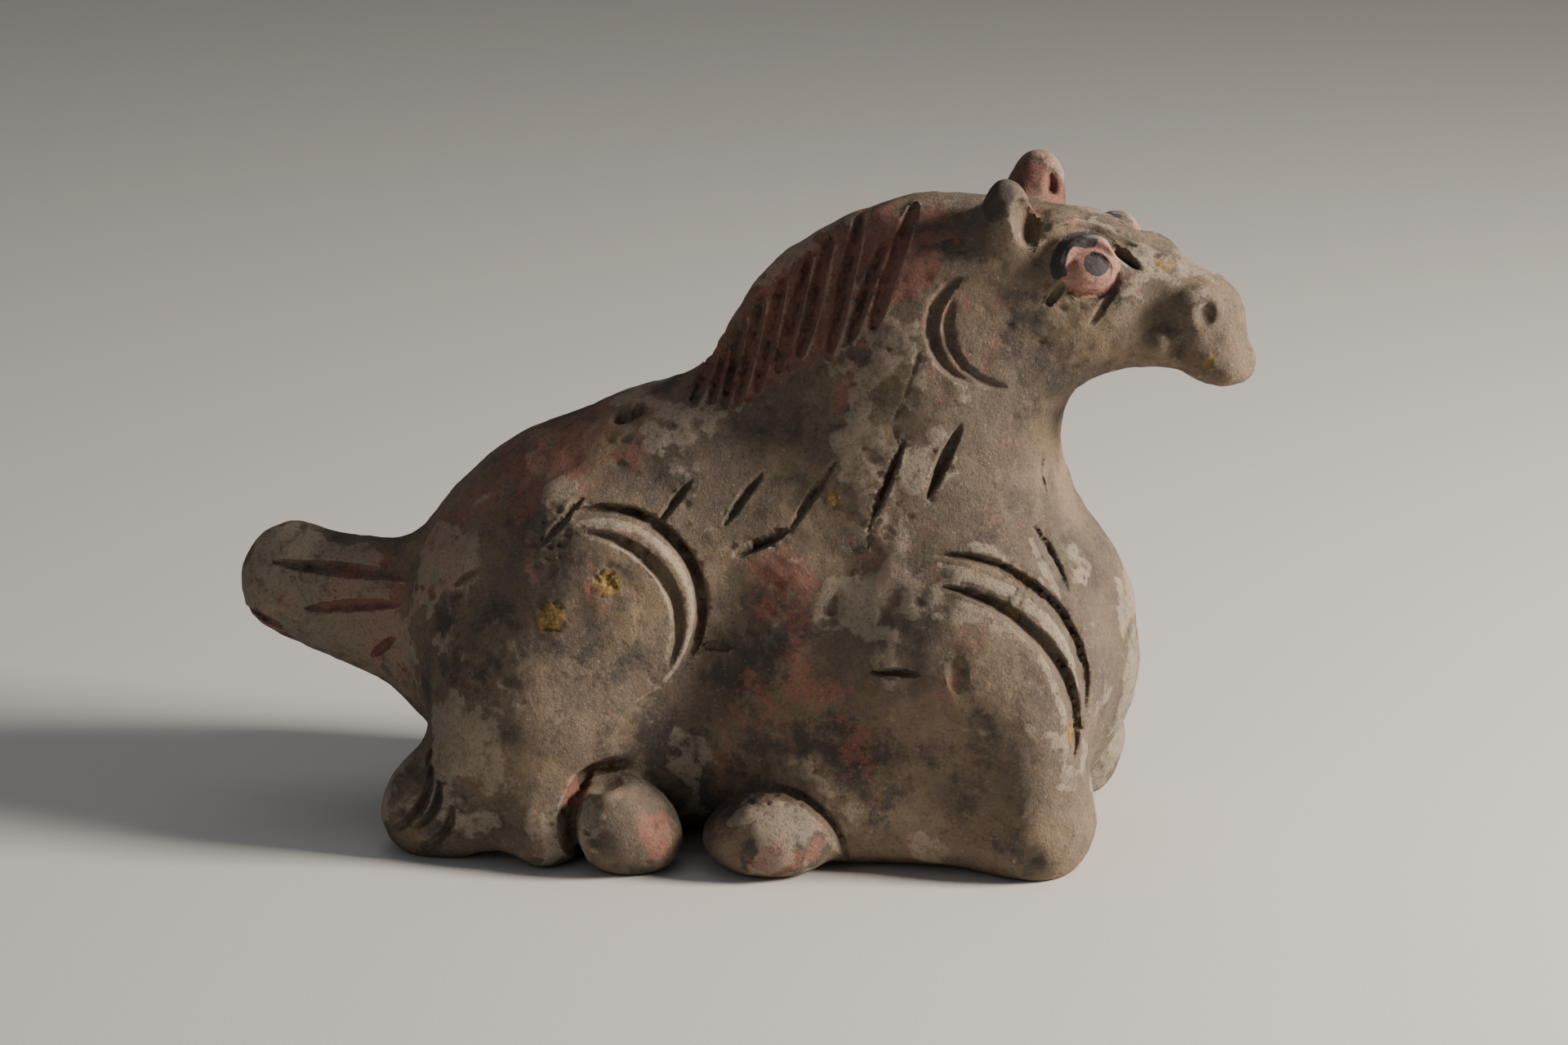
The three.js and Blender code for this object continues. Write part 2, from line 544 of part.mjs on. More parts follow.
  cheapest() {
    const { costs, edges } = this;
    const top = edges[0];
    const cost = costs.pop();
    const edge = edges.pop();
    const length = costs.length;
    let i = 0;
    while (2 * i + 1 < length) {
      let low = 2 * i + 1;
      if (low + 1 < length && costs[low + 1] < costs[low]) low++;
      if (cost <= costs[low]) break;
      costs[i] = costs[low];
      edges[i] = edges[low];
      i = low;
    }
    if (length) {
      costs[i] = cost;
      edges[i] = edge;
    }
    return top;
  }

  neighbours(v) {
    const found = new Set();
    for (const f of this.around[v]) {
      for (let n = 0; n < 3; n++) found.add(this.faces[f + n]);
    }
    found.delete(v);
    return found;
  }

  // Whether moving v to the best point would turn over a face that edge v-other leaves behind
  flips(v, other) {
    const [before, after] = [[0, 0, 0], [0, 0, 0]];
    const was = [this.at[3 * v], this.at[3 * v + 1], this.at[3 * v + 2]];
    for (const f of this.around[v]) {
      const [a, b, c] = this.faces.subarray(f, f + 3);
      if (a === other || b === other || c === other) continue;
      this.normal(3 * a, 3 * b, 3 * c, before);
      this.at.set(this.best, 3 * v);
      this.normal(3 * a, 3 * b, 3 * c, after);
      this.at.set(was, 3 * v);
      const dot = before[0] * after[0] + before[1] * after[1] + before[2] * after[2];
      if (dot < 0.3 * Math.hypot(...before) * Math.hypot(...after)) return true;
    }
    return false;
  }

  collapse(u, v) {
    this.price(u, v);
    const beside = this.neighbours(v);
    let shared = 0;
    for (const w of this.neighbours(u)) if (beside.has(w)) shared++;
    if (shared !== 2 || this.flips(u, v) || this.flips(v, u)) return;
    this.at.set(this.best, 3 * u);
    for (let t = 0; t < 10; t++) this.quadrics[u * 10 + t] += this.quadrics[v * 10 + t];
    for (const f of this.around[v]) {
      const corners = this.faces.subarray(f, f + 3);
      if (corners.includes(u)) {
        for (const w of corners) {
          if (w !== v) this.around[w] = this.around[w].filter((g) => g !== f);
        }
        corners[0] = -1;
        this.left--;
      } else {
        corners[corners.indexOf(v)] = u;
        this.around[u].push(f);
      }
    }
    this.around[v] = [];
    this.stamp[u]++;
    this.stamp[v] = -1;
    for (const w of this.neighbours(u)) this.offer(u, w);
  }

  thin(budget) {
    while (this.left > budget && this.costs.length) {
      const [u, v, stampU, stampV] = this.cheapest();
      if (this.stamp[u] === stampU && this.stamp[v] === stampV) this.collapse(u, v);
    }
    const thinned = new THREE.BufferGeometry();
    const kept = [];
    for (let f = 0; f < this.faces.length; f += 3) {
      if (this.faces[f] >= 0) kept.push(...this.faces.subarray(f, f + 3));
    }
    thinned.setAttribute("position", new THREE.Float32BufferAttribute(this.at, 3));
    thinned.setIndex(kept);
    return mergeVertices(thinned.toNonIndexed(), 1e-4);
  }
}

const wasm = await Module();
wasm.setup();

// A closed mesh as a manifold solid
function solidOf(geometry) {
  const bare = geometry.clone();
  bare.deleteAttribute("normal");
  bare.deleteAttribute("uv");
  const merged = mergeVertices(bare, 1e-4);
  return new wasm.Manifold(new wasm.Mesh({
    numProp: 3,
    vertProperties: new Float32Array(merged.getAttribute("position").array),
    triVerts: new Uint32Array(merged.index.array),
  }));
}

// The figure, cut off flat where the clay stood on the board it was built on
function figure() {
  const care = (x, z) => (x > FACE_FROM[0] && z > FACE_FROM[1] ? FACE_CARE : 1);
  const skin = new Thinner(polygonise(clay, SPREAD, VOXEL), care).thin(TRIANGLES);
  const board = new THREE.BoxGeometry(BOARD.long, BOARD.wide, BOARD.thick)
    .translate(0, 0, -BOARD.thick / 2);
  const { vertProperties, triVerts } = solidOf(skin).subtract(solidOf(board)).getMesh();
  const geometry = new THREE.BufferGeometry();
  geometry.setAttribute("position", new THREE.BufferAttribute(vertProperties, 3));
  geometry.setIndex(new THREE.BufferAttribute(triVerts, 1));
  geometry.computeBoundingBox();
  const middle = geometry.boundingBox.getCenter(new THREE.Vector3());
  return geometry.translate(-middle.x, -middle.y, 0);
}

const pottery = new THREE.MeshStandardMaterial({ color: 0x8a7a69, roughness: 0.9, metalness: 0 });
const horse = new THREE.Mesh(figure(), pottery);
horse.name = "horse_figure";

const group = new THREE.Group();
group.add(horse);
export default group;
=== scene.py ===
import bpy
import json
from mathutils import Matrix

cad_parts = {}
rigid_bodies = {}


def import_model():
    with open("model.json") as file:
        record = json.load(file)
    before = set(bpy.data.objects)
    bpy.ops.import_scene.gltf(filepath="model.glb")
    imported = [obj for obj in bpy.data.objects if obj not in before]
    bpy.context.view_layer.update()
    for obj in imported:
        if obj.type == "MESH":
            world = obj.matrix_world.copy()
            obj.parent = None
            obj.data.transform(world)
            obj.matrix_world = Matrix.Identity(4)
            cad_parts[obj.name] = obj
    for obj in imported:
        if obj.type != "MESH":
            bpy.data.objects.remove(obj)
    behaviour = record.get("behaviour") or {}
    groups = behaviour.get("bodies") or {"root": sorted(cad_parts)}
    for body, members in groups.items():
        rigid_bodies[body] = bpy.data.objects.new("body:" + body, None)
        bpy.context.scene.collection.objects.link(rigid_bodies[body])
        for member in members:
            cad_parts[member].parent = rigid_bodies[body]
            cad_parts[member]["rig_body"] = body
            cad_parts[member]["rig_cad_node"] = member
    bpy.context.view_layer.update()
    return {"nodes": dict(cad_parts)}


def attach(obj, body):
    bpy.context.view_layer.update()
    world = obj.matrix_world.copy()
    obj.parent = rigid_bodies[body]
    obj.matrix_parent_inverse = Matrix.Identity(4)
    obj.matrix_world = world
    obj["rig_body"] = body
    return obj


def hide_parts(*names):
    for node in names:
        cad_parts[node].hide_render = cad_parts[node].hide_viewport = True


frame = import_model()

"""A recumbent horse of low-fired grey pottery, dressed for the render.

The clay's shape is written here as in the part's source: lumps and rolls blended into one field
of distances, and tool marks scored into it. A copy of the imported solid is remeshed, made finer
where the marks are, drawn on to that field and then weathered.
"""

import json
import logging
import math
from collections.abc import Callable
from dataclasses import dataclass, field
from enum import Enum

import bpy
import numpy as np
from mathutils import Vector

log = logging.getLogger("pottery_horse")

Points = np.ndarray
Values = np.ndarray
Triple = tuple[float, float, float]
Pair = tuple[float, float]
Patch = tuple[float, float, float, float, float]
"""Middle, reach and strength of a place where paint, soot or soil has stayed."""

MM = 0.001
NODE = "horse_figure"
SCULPT_CENTRE = np.array((-14.495, -0.003, 0.0))
"""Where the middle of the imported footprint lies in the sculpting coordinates, in mm."""


class Side(Enum):
    """Which flank a mark is on."""

    RIGHT = "right"
    BOTH = "both"


def smoothed(a: Values, b: Values, width: float) -> Values:
    """Joins two distances as a thumb smooths two pieces of clay together.

    Args:
        a: Distances to the first form.
        b: Distances to the second form.
        width: Width of the smoothed joint in mm.

    Returns:
        Distances to the joined form.
    """
    low = np.minimum(a, b)
    if width <= 0:
        return low
    reach = np.maximum(width - np.abs(a - b), 0.0)
    return low - reach * reach / (4.0 * width)


def pressed(a: Values, hollow: Values, width: float) -> Values:
    """Takes a hollow out of a form, with a softened lip (the reverse of smoothed)."""
    return -smoothed(-a, hollow, width)


def lattice(points: Points, size: float, seed: int) -> Values:
    """Smooth noise between -1 and 1 on a cubic lattice.

    Args:
        points: Places in mm, one row each.
        size: Spacing of the lattice in mm.
        seed: Picks the pattern.

    Returns:
        One value for each place.
    """
    scaled = points / size + seed * 17.31
    cell = np.floor(scaled).astype(np.int64)
    part = scaled - cell
    blend = part * part * (3.0 - 2.0 * part)
    total = np.zeros(len(points))
    for corner in range(8):
        step = np.array([corner & 1, corner >> 1 & 1, corner >> 2 & 1])
        key = (cell + step) @ np.array([73856093, 19349663, 83492791]) + seed * 2654435
        key = (key ^ (key >> 13)) * 1274126177
        key = (key ^ (key >> 16)) & 0xFFFFF
        weight = np.prod(np.where(step, blend, 1.0 - blend), axis=1)
        total += weight * (key / 0xFFFFF * 2.0 - 1.0)
    return total


def layered(points: Points, size: float, seed: int, layers: int = 3) -> Values:
    """Noise in layers, each at half the size and half the strength of the last."""
    total = sum(lattice(points, size / 2**n, seed + n) / 2**n for n in range(layers))
    return total / (2.0 - 0.5 ** (layers - 1))


def ramp(values: Values, low: float, high: float) -> Values:
    """Rises smoothly from 0 at low to 1 at high."""
    part = np.clip((values - low) / (high - low), 0.0, 1.0)
    return part * part * (3.0 - 2.0 * part)


@dataclass(frozen=True)
class Lump:
    """An ellipsoid of clay, or of missing clay."""

    at: Triple
    radii: Triple
    join: float = 0.0
    pitch: float = 0.0

    def distance(self, p: Points) -> Values:
        """How far each point lies outside the lump, in mm."""
        c, s = math.cos(math.radians(self.pitch)), math.sin(math.radians(self.pitch))
        d = p - np.array(self.at)
        q = np.stack([d[:, 0] * c - d[:, 2] * s, d[:, 1], d[:, 0] * s + d[:, 2] * c], axis=1)
        q /= np.array(self.radii)
        reach = np.linalg.norm(q, axis=1)
        slope = np.linalg.norm(q / np.array(self.radii), axis=1)
        return reach * (reach - 1.0) / np.maximum(slope, 1e-9)


@dataclass(frozen=True)
class Roll:
    """A roll of clay that tapers between two ends and may be flattened across."""

    start: Triple
    end: Triple
    thick: Pair
    join: float = 0.0
    flat: float = 1.0

    def distance(self, p: Points) -> Values:
        """How far each point lies outside the roll, in mm."""
        run = np.array(self.end) - np.array(self.start)
        d = p - np.array(self.start)
        t = np.clip(d @ run / (run @ run), 0.0, 1.0)
        off = d - t[:, None] * run
        off[:, 1] /= self.flat
        taper = t * t * (3.0 - 2.0 * t)
        return np.linalg.norm(off, axis=1) - self.thick[0] - (self.thick[1] - self.thick[0]) * taper


BURR_AT = 1.22
BURR_WIDE = 0.2
BURR_FROM = 0.95
"""Where a cut's pushed-up lip is highest, how wide it is and where it starts, in half widths."""


def groove(across: Values, half: Values, lean: float, burr: float) -> Values:
    """Section of a cut: deepest off centre, with clay pushed up at its lips.

    Args:
        across: Signed distance from the middle of the cut.
        half: Half width of the cut at each point.
        lean: Where the deepest line lies between the lips, -1 to 1.
        burr: Height of the lips as a share of the depth.

    Returns:
        Depth as a share of the full depth; lips are below zero.
    """
    u = across / np.maximum(half, 1e-6)
    reach = np.where(u < lean, (lean - u) / (1.0 + lean), (u - lean) / (1.0 - lean))
    cut = np.maximum(0.0, 1.0 - reach**2)
    lip = np.exp(-(((np.abs(u) - BURR_AT) / BURR_WIDE) ** 2)) * (np.abs(u) > BURR_FROM)
    return cut - burr * lip


@dataclass(frozen=True)
class Stroke:
    """A straight cut in a plane; a small taper leaves its ends blunt."""

    start: Pair
    end: Pair
    wide: float
    deep: float
    lean: float = -0.25
    burr: float = 0.04
    taper: float = 0.55
    side: Side = Side.BOTH

    def cut(self, a: Values, b: Values) -> Values:
        """Depth of the cut at places in its plane, in mm."""
        run = np.array([self.end[0] - self.start[0], self.end[1] - self.start[1]])
        length = math.hypot(*run)
        along = ((a - self.start[0]) * run[0] + (b - self.start[1]) * run[1]) / length**2
        across = ((a - self.start[0]) * run[1] - (b - self.start[1]) * run[0]) / length
        swell = np.clip(4.0 * along * (1.0 - along), 0.0, 1.0) ** self.taper
        depth = self.deep * swell * groove(across, swell * self.wide / 2, self.lean, self.burr)
        return np.where((along > 0.0) & (along < 1.0), depth, 0.0)


@dataclass(frozen=True)
class Sweep:
    """A cut or, with a depth below zero, a raised roll along an arc; angles in degrees."""

    radius: float
    start: float
    end: float
    wide: float
    deep: float
    centre: Pair = (0.0, 0.0)
    lean: float = 0.0
    burr: float = 0.0
    side: Side = Side.BOTH

    def cut(self, a: Values, b: Values) -> Values:
        """Depth of the cut at places in its plane, in mm."""
        da, db = a - self.centre[0], b - self.centre[1]
        middle, reach = (self.start + self.end) / 2, (self.end - self.start) / 2
        off = (np.degrees(np.arctan2(db, da)) - middle + 180.0) % 360.0 - 180.0
        swell = np.sqrt(np.clip(1.0 - (off / reach) ** 2, 0.0, 1.0))
        across = np.hypot(da, db) - self.radius
        half = swell**0.7 * self.wide / 2
        section = groove(across, half, self.lean, self.burr)
        depth = self.deep * swell * (section if self.deep > 0 else section**2)
        return np.where(np.abs(off) < reach, depth, 0.0)


@dataclass(frozen=True)
class Swelling:
    """A disc of clay that swells towards a crisp edge along part of its rim."""

    radius: float
    start: float
    end: float
    high: float
    edge: float
    centre: Pair
    side: Side = Side.BOTH
    rise: float = 0.35
    fade: float = 60.0

    def cut(self, a: Values, b: Values) -> Values:
        """Depth at places in its plane, in mm; below zero because it is raised."""
        da, db = a - self.centre[0], b - self.centre[1]
        middle, reach = (self.start + self.end) / 2, (self.end - self.start) / 2
        off = np.abs((np.degrees(np.arctan2(db, da)) - middle + 180.0) % 360.0 - 180.0)
        out = np.hypot(da, db)
        lift = ramp(out, self.radius * self.rise, self.radius - self.edge)
        drop = 1.0 - ramp(out, self.radius - self.edge, self.radius)
        return -self.high * lift * drop * (1.0 - ramp(off, reach - self.fade, reach))


Mark = Stroke | Sweep | Swelling
Form = Lump | Roll
FAR_OFF = 1e3
"""Further than any clay, in mm."""


def deepest(marks: list[Mark], a: Values, b: Values) -> Values:
    """The deepest cut less the highest raised form at each place in their plane."""
    depths = np.array([mark.cut(a, b) for mark in marks])
    return np.maximum(depths.max(axis=0), 0.0) + np.minimum(depths.min(axis=0), 0.0)


def blended(forms: list[Form], p: Points, start: Values | None = None) -> Values:
    """Blends forms one after another, each by its own joint.

    Args:
        forms: The forms in order.
        p: Places in mm.
        start: Distances to clay that is already there.

    Returns:
        Distances to the blended clay.
    """
    d = np.full(len(p), FAR_OFF) if start is None else start
    for form in forms:
        d = smoothed(d, form.distance(p), form.join)
    return d


def hollowed(hollows: list[Lump], p: Points, clay: Values) -> Values:
    """Presses hollows into clay one after another, each with its own softened lip."""
    for hollow in hollows:
        clay = pressed(clay, hollow.distance(p), hollow.join)
    return clay


@dataclass(frozen=True)
class Placed:
    """A frame placed in another, by its origin and its three axes as rows."""

    origin: Triple
    axes: Points

    def local(self, p: Points) -> Points:
        """Outer coordinates to this frame's own."""
        return (p - np.array(self.origin)) @ self.axes.T


@dataclass
class Trunk:
    """Rump, belly, chest, back and neck, with the tail cocked behind."""

    rump: Lump = Lump((-66, 0, 62), (60, 50, 66))
    barrel: Lump = Lump((0, 0, 58), (84, 52, 63), 22)
    chest: Lump = Lump((60, 0, 62), (55, 51, 60), 22)
    back: Lump = Lump((-29, 0, 104), (60, 34, 41.5), 28, -27)
    neck: Lump = Lump((46, 0, 142), (44, 36, 66), 26, 12)
    crest: Lump = Lump((27, 0, 162), (53, 13, 37), 16, -33)
    tail: Roll = Roll((-112, 0, 62), (-160, 0, 75), (26, 20), 14, 0.55)
    vent: Lump = Lump((-48, -15, 138), (5.6, 3.2, 7), 1.0)
    standing_edge: float = 1.2

    def distance(self, p: Points) -> Values:
        """Distances to the trunk, in mm."""
        return blended(
            [self.rump, self.barrel, self.chest, self.back, self.neck, self.crest, self.tail], p
        )


@dataclass
class Legs:
    """The tucked legs, alike on both sides but for the lead of the left knee."""

    haunch: Lump = Lump((-58, 30, 79), (40, 26, 41), 8)
    thigh: Roll = Roll((-74, 38, 46), (-106, 42, 14), (29, 14), 18)
    hind_shank: Roll = Roll((-108, 44, 12), (-72, 49, 14), (13.5, 15), 16)
    heel: Lump = Lump((-70.5, 54, 13.5), (12.5, 13, 15.5), 5)
    hind_hoof: Lump = Lump((-42.5, 56, 14), (18.5, 17, 16.5), 3)
    shoulder: Lump = Lump((62, 32, 62), (41, 28, 43), 12)
    forearm: Roll = Roll((80, 43, 52), (86, 45, 16), (19.5, 14.5), 8)
    fore_shank: Roll = Roll((84, 40, 15), (22, 42, 17), (14, 16), 22)
    fore_hoof: Lump = Lump((2, 53.5, 12.5), (23, 17, 14), 4)
    fetlock_hollow: Lump = Lump((-50.5, 58, 30.5), (10, 12, 4.6), 1.5, -12)
    fetlock: Lump = Lump((-48, 61, 25.5), (5.5, 7, 4.5), 2)
    waist: Lump = Lump((-17, 61, 62), (11, 14, 40), 22, 12)
    hind_arch: Lump = Lump((-84, 58, -3), (12, 15, 7), 3)
    fore_arch: Lump = Lump((46, 60, -3.5), (25, 15, 7), 4)
    left_knee_lead: float = 5.0

    def distance(self, p: Points, body: Values) -> Values:
        """Distances to the trunk with its legs, in mm.

        Args:
            p: Places in mm.
            body: Distances to the trunk alone.

        Returns:
            Distances to both.
        """
        q = p.copy()
        q[:, 1] = np.abs(q[:, 1])
        hind = [self.haunch, self.thigh, self.hind_shank, self.heel, self.hind_hoof, self.fetlock]
        d = blended(hind, q, body)
        q[:, 0] -= np.where(p[:, 1] > 0, self.left_knee_lead, 0.0)
        return blended([self.shoulder, self.forearm, self.fore_shank, self.fore_hoof], q, d)


@dataclass
class Eye:
    """A bulging eye between thick lids, carved in a plane that faces out and up."""

    at: Triple = (10.5, -19.4, 12.8)
    facing: Triple = (0.2, -0.87, 0.42)
    roll: float = 17.0
    reach: float = 26.0
    reach_out: float = 14.0
    mound: Lump = Lump((-1.2, 0.6, -2), (10.4, 10, 7.5), 3)
    opening: Lump = Lump((-1.2, -2.2, 5.4), (7.6, 5.3, 5), 0.6)
    ball: Lump = Lump((-1.4, -1.6, 0.8), (7.2, 5.6, 5.2), 0.3)
    marks: tuple[Mark, ...] = (
        Sweep(8.2, 20, 200, 6.5, -2.4, (-1.3, -0.2)),
        Sweep(9.2, 215, 352, 3, 2.6, (-1.2, -0.2)),
        Sweep(15, 46, 184, 3, 0.9, (-3, -3)),
        Sweep(18, 50, 138, 4.5, -0.9, (-3, -3)),
        Stroke((4.7, 7.9), (15.2, -1.2), 3.9, 4.0),
        Stroke((7.6, 9.2), (14.2, 7.2), 1.9, 1.6),
        Stroke((-9, -5.2), (-14, -12.8), 3.0, 2.4),
        Stroke((9, -3), (-0.4, -18.6), 2.8, 1.6),
    )

    def frame(self) -> Placed:
        """The carving plane in the head's frame."""
        out = np.array(self.facing) / np.linalg.norm(self.facing)
        along = np.array([1.0, 0.0, 0.0]) - out[0] * out
        along /= np.linalg.norm(along)
        up = np.cross(out, along)
        c, s = math.cos(math.radians(self.roll)), math.sin(math.radians(self.roll))
        return Placed(self.at, np.array([along * c + up * s, up * c - along * s, out]))

    def local(self, head: Points) -> Points:
        """Head coordinates to the plane of the eye on their own side."""
        q = head.copy()
        q[:, 1] = -np.abs(q[:, 1])
        return self.frame().local(q)

    def distance(self, head: Points, clay: Values) -> Values:
        """Carves both eyes.

        Args:
            head: Places in the head's frame.
            clay: Distances to the head without eyes.

        Returns:
            Distances to the head with eyes.
        """
        q = self.local(head)
        near = (np.hypot(q[:, 0], q[:, 1]) < self.reach) & (np.abs(q[:, 2]) < self.reach_out)
        d = clay.copy()
        q = q[near]
        eye = blended([self.mound], q, d[near])
        eye += deepest(list(self.marks), q[:, 0], q[:, 1])
        d[near] = blended([self.ball], q, hollowed([self.opening], q, eye))
        return d


@dataclass
class Head:
    """The head in its own frame: along the face, across it, and up from it."""

    at: Triple = (90, -3, 182)
    nod: float = 13.0
    turn: float = -10.0
    join: float = 16.0
    behind: float = 20.0
    below: float = 110.0
    skull: Lump = Lump((-1, 0, 2), (32, 23, 22), 14)
    face: Lump = Lump((23, 0, 0), (34, 17, 19), 12)
    nose: Lump = Lump((46.3, 0, 1), (12.8, 13.5, 12.6), 6)
    lip: Lump = Lump((53.5, 0, -9), (12, 12.5, 8.8), 6)
    forelock: Lump = Lump((-4, -11, 17.5), (8, 9.5, 7.5), 3)
    near_ear: Lump = Lump((-18.5, -19.5, 20.5), (7.6, 7, 12.5), 4, -30)
    far_ear: Lump = Lump((-19, 18, 21), (8.8, 7, 13.8), 5, -12)
    cheek: Lump = Lump((-6, 10, -10), (27, 15, 22), 12)
    far_brow: Lump = Lump((23.5, 11, 15.6), (7.5, 6.5, 5), 4, 10)
    nostril: Lump = Lump((44.4, 11, 6.6), (6.5, 5, 7), 3)
    lip_corner: Lump = Lump((35.8, 12.8, -6), (4.6, 3.8, 4.2), 2)
    near_ear_cup: Lump = Lump((-12.6, -22.5, 20.5), (3.5, 8.5, 7.6), 0.7, -27)
    far_ear_cup: Lump = Lump((-14.6, 10.5, 25), (2.3, 5.8, 8), 0.6, -12)
    nostril_pit: Lump = Lump((48.5, 17, 7.6), (3.9, 5.5, 5), 1.2)
    mouth_corner: Lump = Lump((41.2, 17, -7.4), (2.6, 5.5, 6.2), 1.2, 15)
    face_hollow: Lump = Lump((34, 22, 2), (7.5, 7.5, 11), 7)
    mouth: Stroke = Stroke((45, -8.6), (60, -12), 2.2, 0.6)
    eye: Eye = field(default_factory=Eye)

    def frame(self) -> Placed:
        """The head's frame in the sculpting coordinates."""
        nod, turn = math.radians(self.nod), math.radians(self.turn)
        turned = np.array(
            [[math.cos(turn), -math.sin(turn), 0], [math.sin(turn), math.cos(turn), 0], [0, 0, 1]]
        )
        nodded = np.array(
            [[math.cos(nod), 0, math.sin(nod)], [0, 1, 0], [-math.sin(nod), 0, math.cos(nod)]]
        )
        return Placed(self.at, (turned @ nodded).T)

    def distance(self, p: Points, body: Values) -> Values:
        """Distances to the body with its head, in mm.

        Args:
            p: Places in sculpting coordinates.
            body: Distances to the body alone.

        Returns:
            Distances to both.
        """
        near = (p[:, 0] > self.behind) & (p[:, 2] > self.below)
        q = self.frame().local(p[near])
        side = q.copy()
        side[:, 1] = np.abs(side[:, 1])
        middle = [self.skull, self.face, self.nose, self.lip]
        d = blended([*middle, self.near_ear, self.far_ear, self.far_brow], q)
        d = blended([self.cheek], side, d)
        d = hollowed([self.face_hollow], side, d)
        d = blended([self.nostril, self.lip_corner], side, d)
        d = blended([self.forelock], q, d)
        d = hollowed([self.near_ear_cup, self.far_ear_cup], q, d)
        d = hollowed([self.nostril_pit, self.mouth_corner], side, d)
        d = d + self.mouth.cut(q[:, 0], q[:, 2])
        d = self.eye.distance(q, d)
        whole = body.copy()
        whole[near] = smoothed(body[near], d, self.join)
        return whole


@dataclass
class ToolMarks:
    """Gouged arcs, knife strokes and slashes, in the plane of X and Z."""

    arcs: tuple[Mark, ...] = (
        Swelling(32, -95, 135, 2.2, 2.6, (-53, 81.5)),
        Sweep(31, -24, 98, 6.4, -1.1, (-55.2, 79.8)),
        Sweep(31.8, -30, 108, 5.2, 4.2, (-53, 81.5), 0.2),
        Sweep(30, -26, 88, 4.0, 3.0, (-57.5, 78), 0.2),
        Sweep(45.9, -4, 86, 7.0, -0.8, (53.2, 53)),
        Sweep(44.8, -6, 93, 3.9, 3.2, (55.5, 58), 0.2),
        Sweep(47, -10, 84, 4.6, 3.6, (50.8, 48), 0.1),
        Sweep(17.2, 122, 268, 5.2, 2.6, (67.8, 173.2)),
        Sweep(18.2, 138, 262, 5.0, -1.1, (71, 173.2)),
        Sweep(19.2, 158, 268, 4.6, 2.2, (74.6, 173.5)),
        Sweep(20.8, -8, 116, 3.2, 2.4, (5.5, 6)),
        Sweep(28.5, 146, 214, 7.5, 2.6, (-32, 16)),
    )
    mane: tuple[tuple[Pair, Pair, float], ...] = (
        ((-27.5, 142), (-20.5, 159), 3.4), ((-21.3, 143), (-17.6, 161), 2.8),
        ((-16.9, 142), (-12.2, 170), 3.6), ((-12.6, 143), (-5.6, 177), 3.6),
        ((-6.5, 147), (1, 183), 3.4), ((0.3, 154), (9.6, 191), 3.4), ((7.3, 159), (16, 196), 3.8),
        ((17.4, 162), (25.6, 202), 4.0), ((23.5, 166), (34, 196), 3.4),
        ((31.4, 171), (42.6, 208), 4.2),
    )
    mane_depth: float = 2.7
    mane_taper: float = 0.25
    mane_spread: float = 1.3
    slashes: tuple[Stroke, ...] = (
        Stroke((-70.6, 103.4), (-58.2, 117.2), 2.8, 2.4),
        Stroke((-35.8, 108.4), (-24.4, 122.4), 3.0, 2.4),
        Stroke((-14.8, 108.6), (-2.6, 124.8), 3.2, 2.6),
        Stroke((6, 107.4), (21, 129.8), 3.1, 2.6),
        Stroke((32.4, 111.6), (42.4, 138), 3.6, 3.0),
        Stroke((49.4, 118.6), (59.9, 142.8), 4.4, 3.4),
        Stroke((82.2, 110), (94.2, 90.4), 2.8, 1.9),
        Stroke((-101, 85.6), (-92, 93.4), 2.2, 0.9),
    )
    hair: tuple[Mark, ...] = (
        Stroke((-107, 35.5), (-108.4, 29.5), 2.4, 1.6),
        Sweep(21, -68, 6, 3.6, 2.6, (-127.4, 29)),
        Sweep(14, -70, 10, 3.2, 2.3, (-117, 24.7)),
        Sweep(14, -78, 6, 3.8, 2.6, (-112.8, 19)),
    )
    tail_lines: tuple[Stroke, ...] = (
        Stroke((-168, 83.6), (-122, 80.6), 4.8, 3.4),
        Stroke((-157, 68.6), (-124, 72.4), 4.4, 3.0),
        Stroke((-125.6, 61.5), (-135, 52.8), 3.4, 2.4),
        Stroke((-178, 67), (-165, 60.5), 3.6, 2.2),
    )
    flank_break: Stroke = Stroke((-11.4, 99.4), (5.8, 108.2), 4.2, 7.5, side=Side.RIGHT)
    slit: Stroke = Stroke((33.6, 67.6), (50.4, 68.8), 3.0, 3.2, side=Side.RIGHT)
    slot: Stroke = Stroke((-19.6, 70.4), (-11, 70.6), 2.4, 2.4, side=Side.RIGHT)
    thumb: Stroke = Stroke((61.7, 62.6), (61.7, 74.8), 7, 1.3, burr=0, side=Side.RIGHT)
    cracks: tuple[tuple[Pair, ...], ...] = (
        ((47, 167), (44.5, 158), (41.5, 150), (38.3, 143), (40.4, 136)),
        ((32.4, 112), (31.4, 108), (31.7, 103)),
        ((-8.6, 68), (-7.4, 60), (-7.6, 50.6)),
        ((86, 118), (84, 124), (85, 131)),
    )
    crack_wide: float = 1.2
    crack_deep: float = 0.6
    seam_fade: float = 3.0
    wander: float = 0.4
    wander_size: float = 13.0

    def every(self) -> list[Mark]:
        """All the marks, with the mane's strands and the cracks as strokes."""
        strands = [
            Stroke(foot, tip, wide * self.mane_spread, self.mane_depth, taper=self.mane_taper)
            for foot, tip, wide in self.mane
        ]
        lines = [
            Stroke(a, b, self.crack_wide, self.crack_deep, burr=0.0, side=Side.RIGHT)
            for crack in self.cracks
            for a, b in zip(crack, crack[1:])
        ]
        single = [self.flank_break, self.slit, self.slot, self.thumb]
        return [
            *self.arcs, *strands, *self.slashes, *self.hair, *self.tail_lines, *single, *lines
        ]

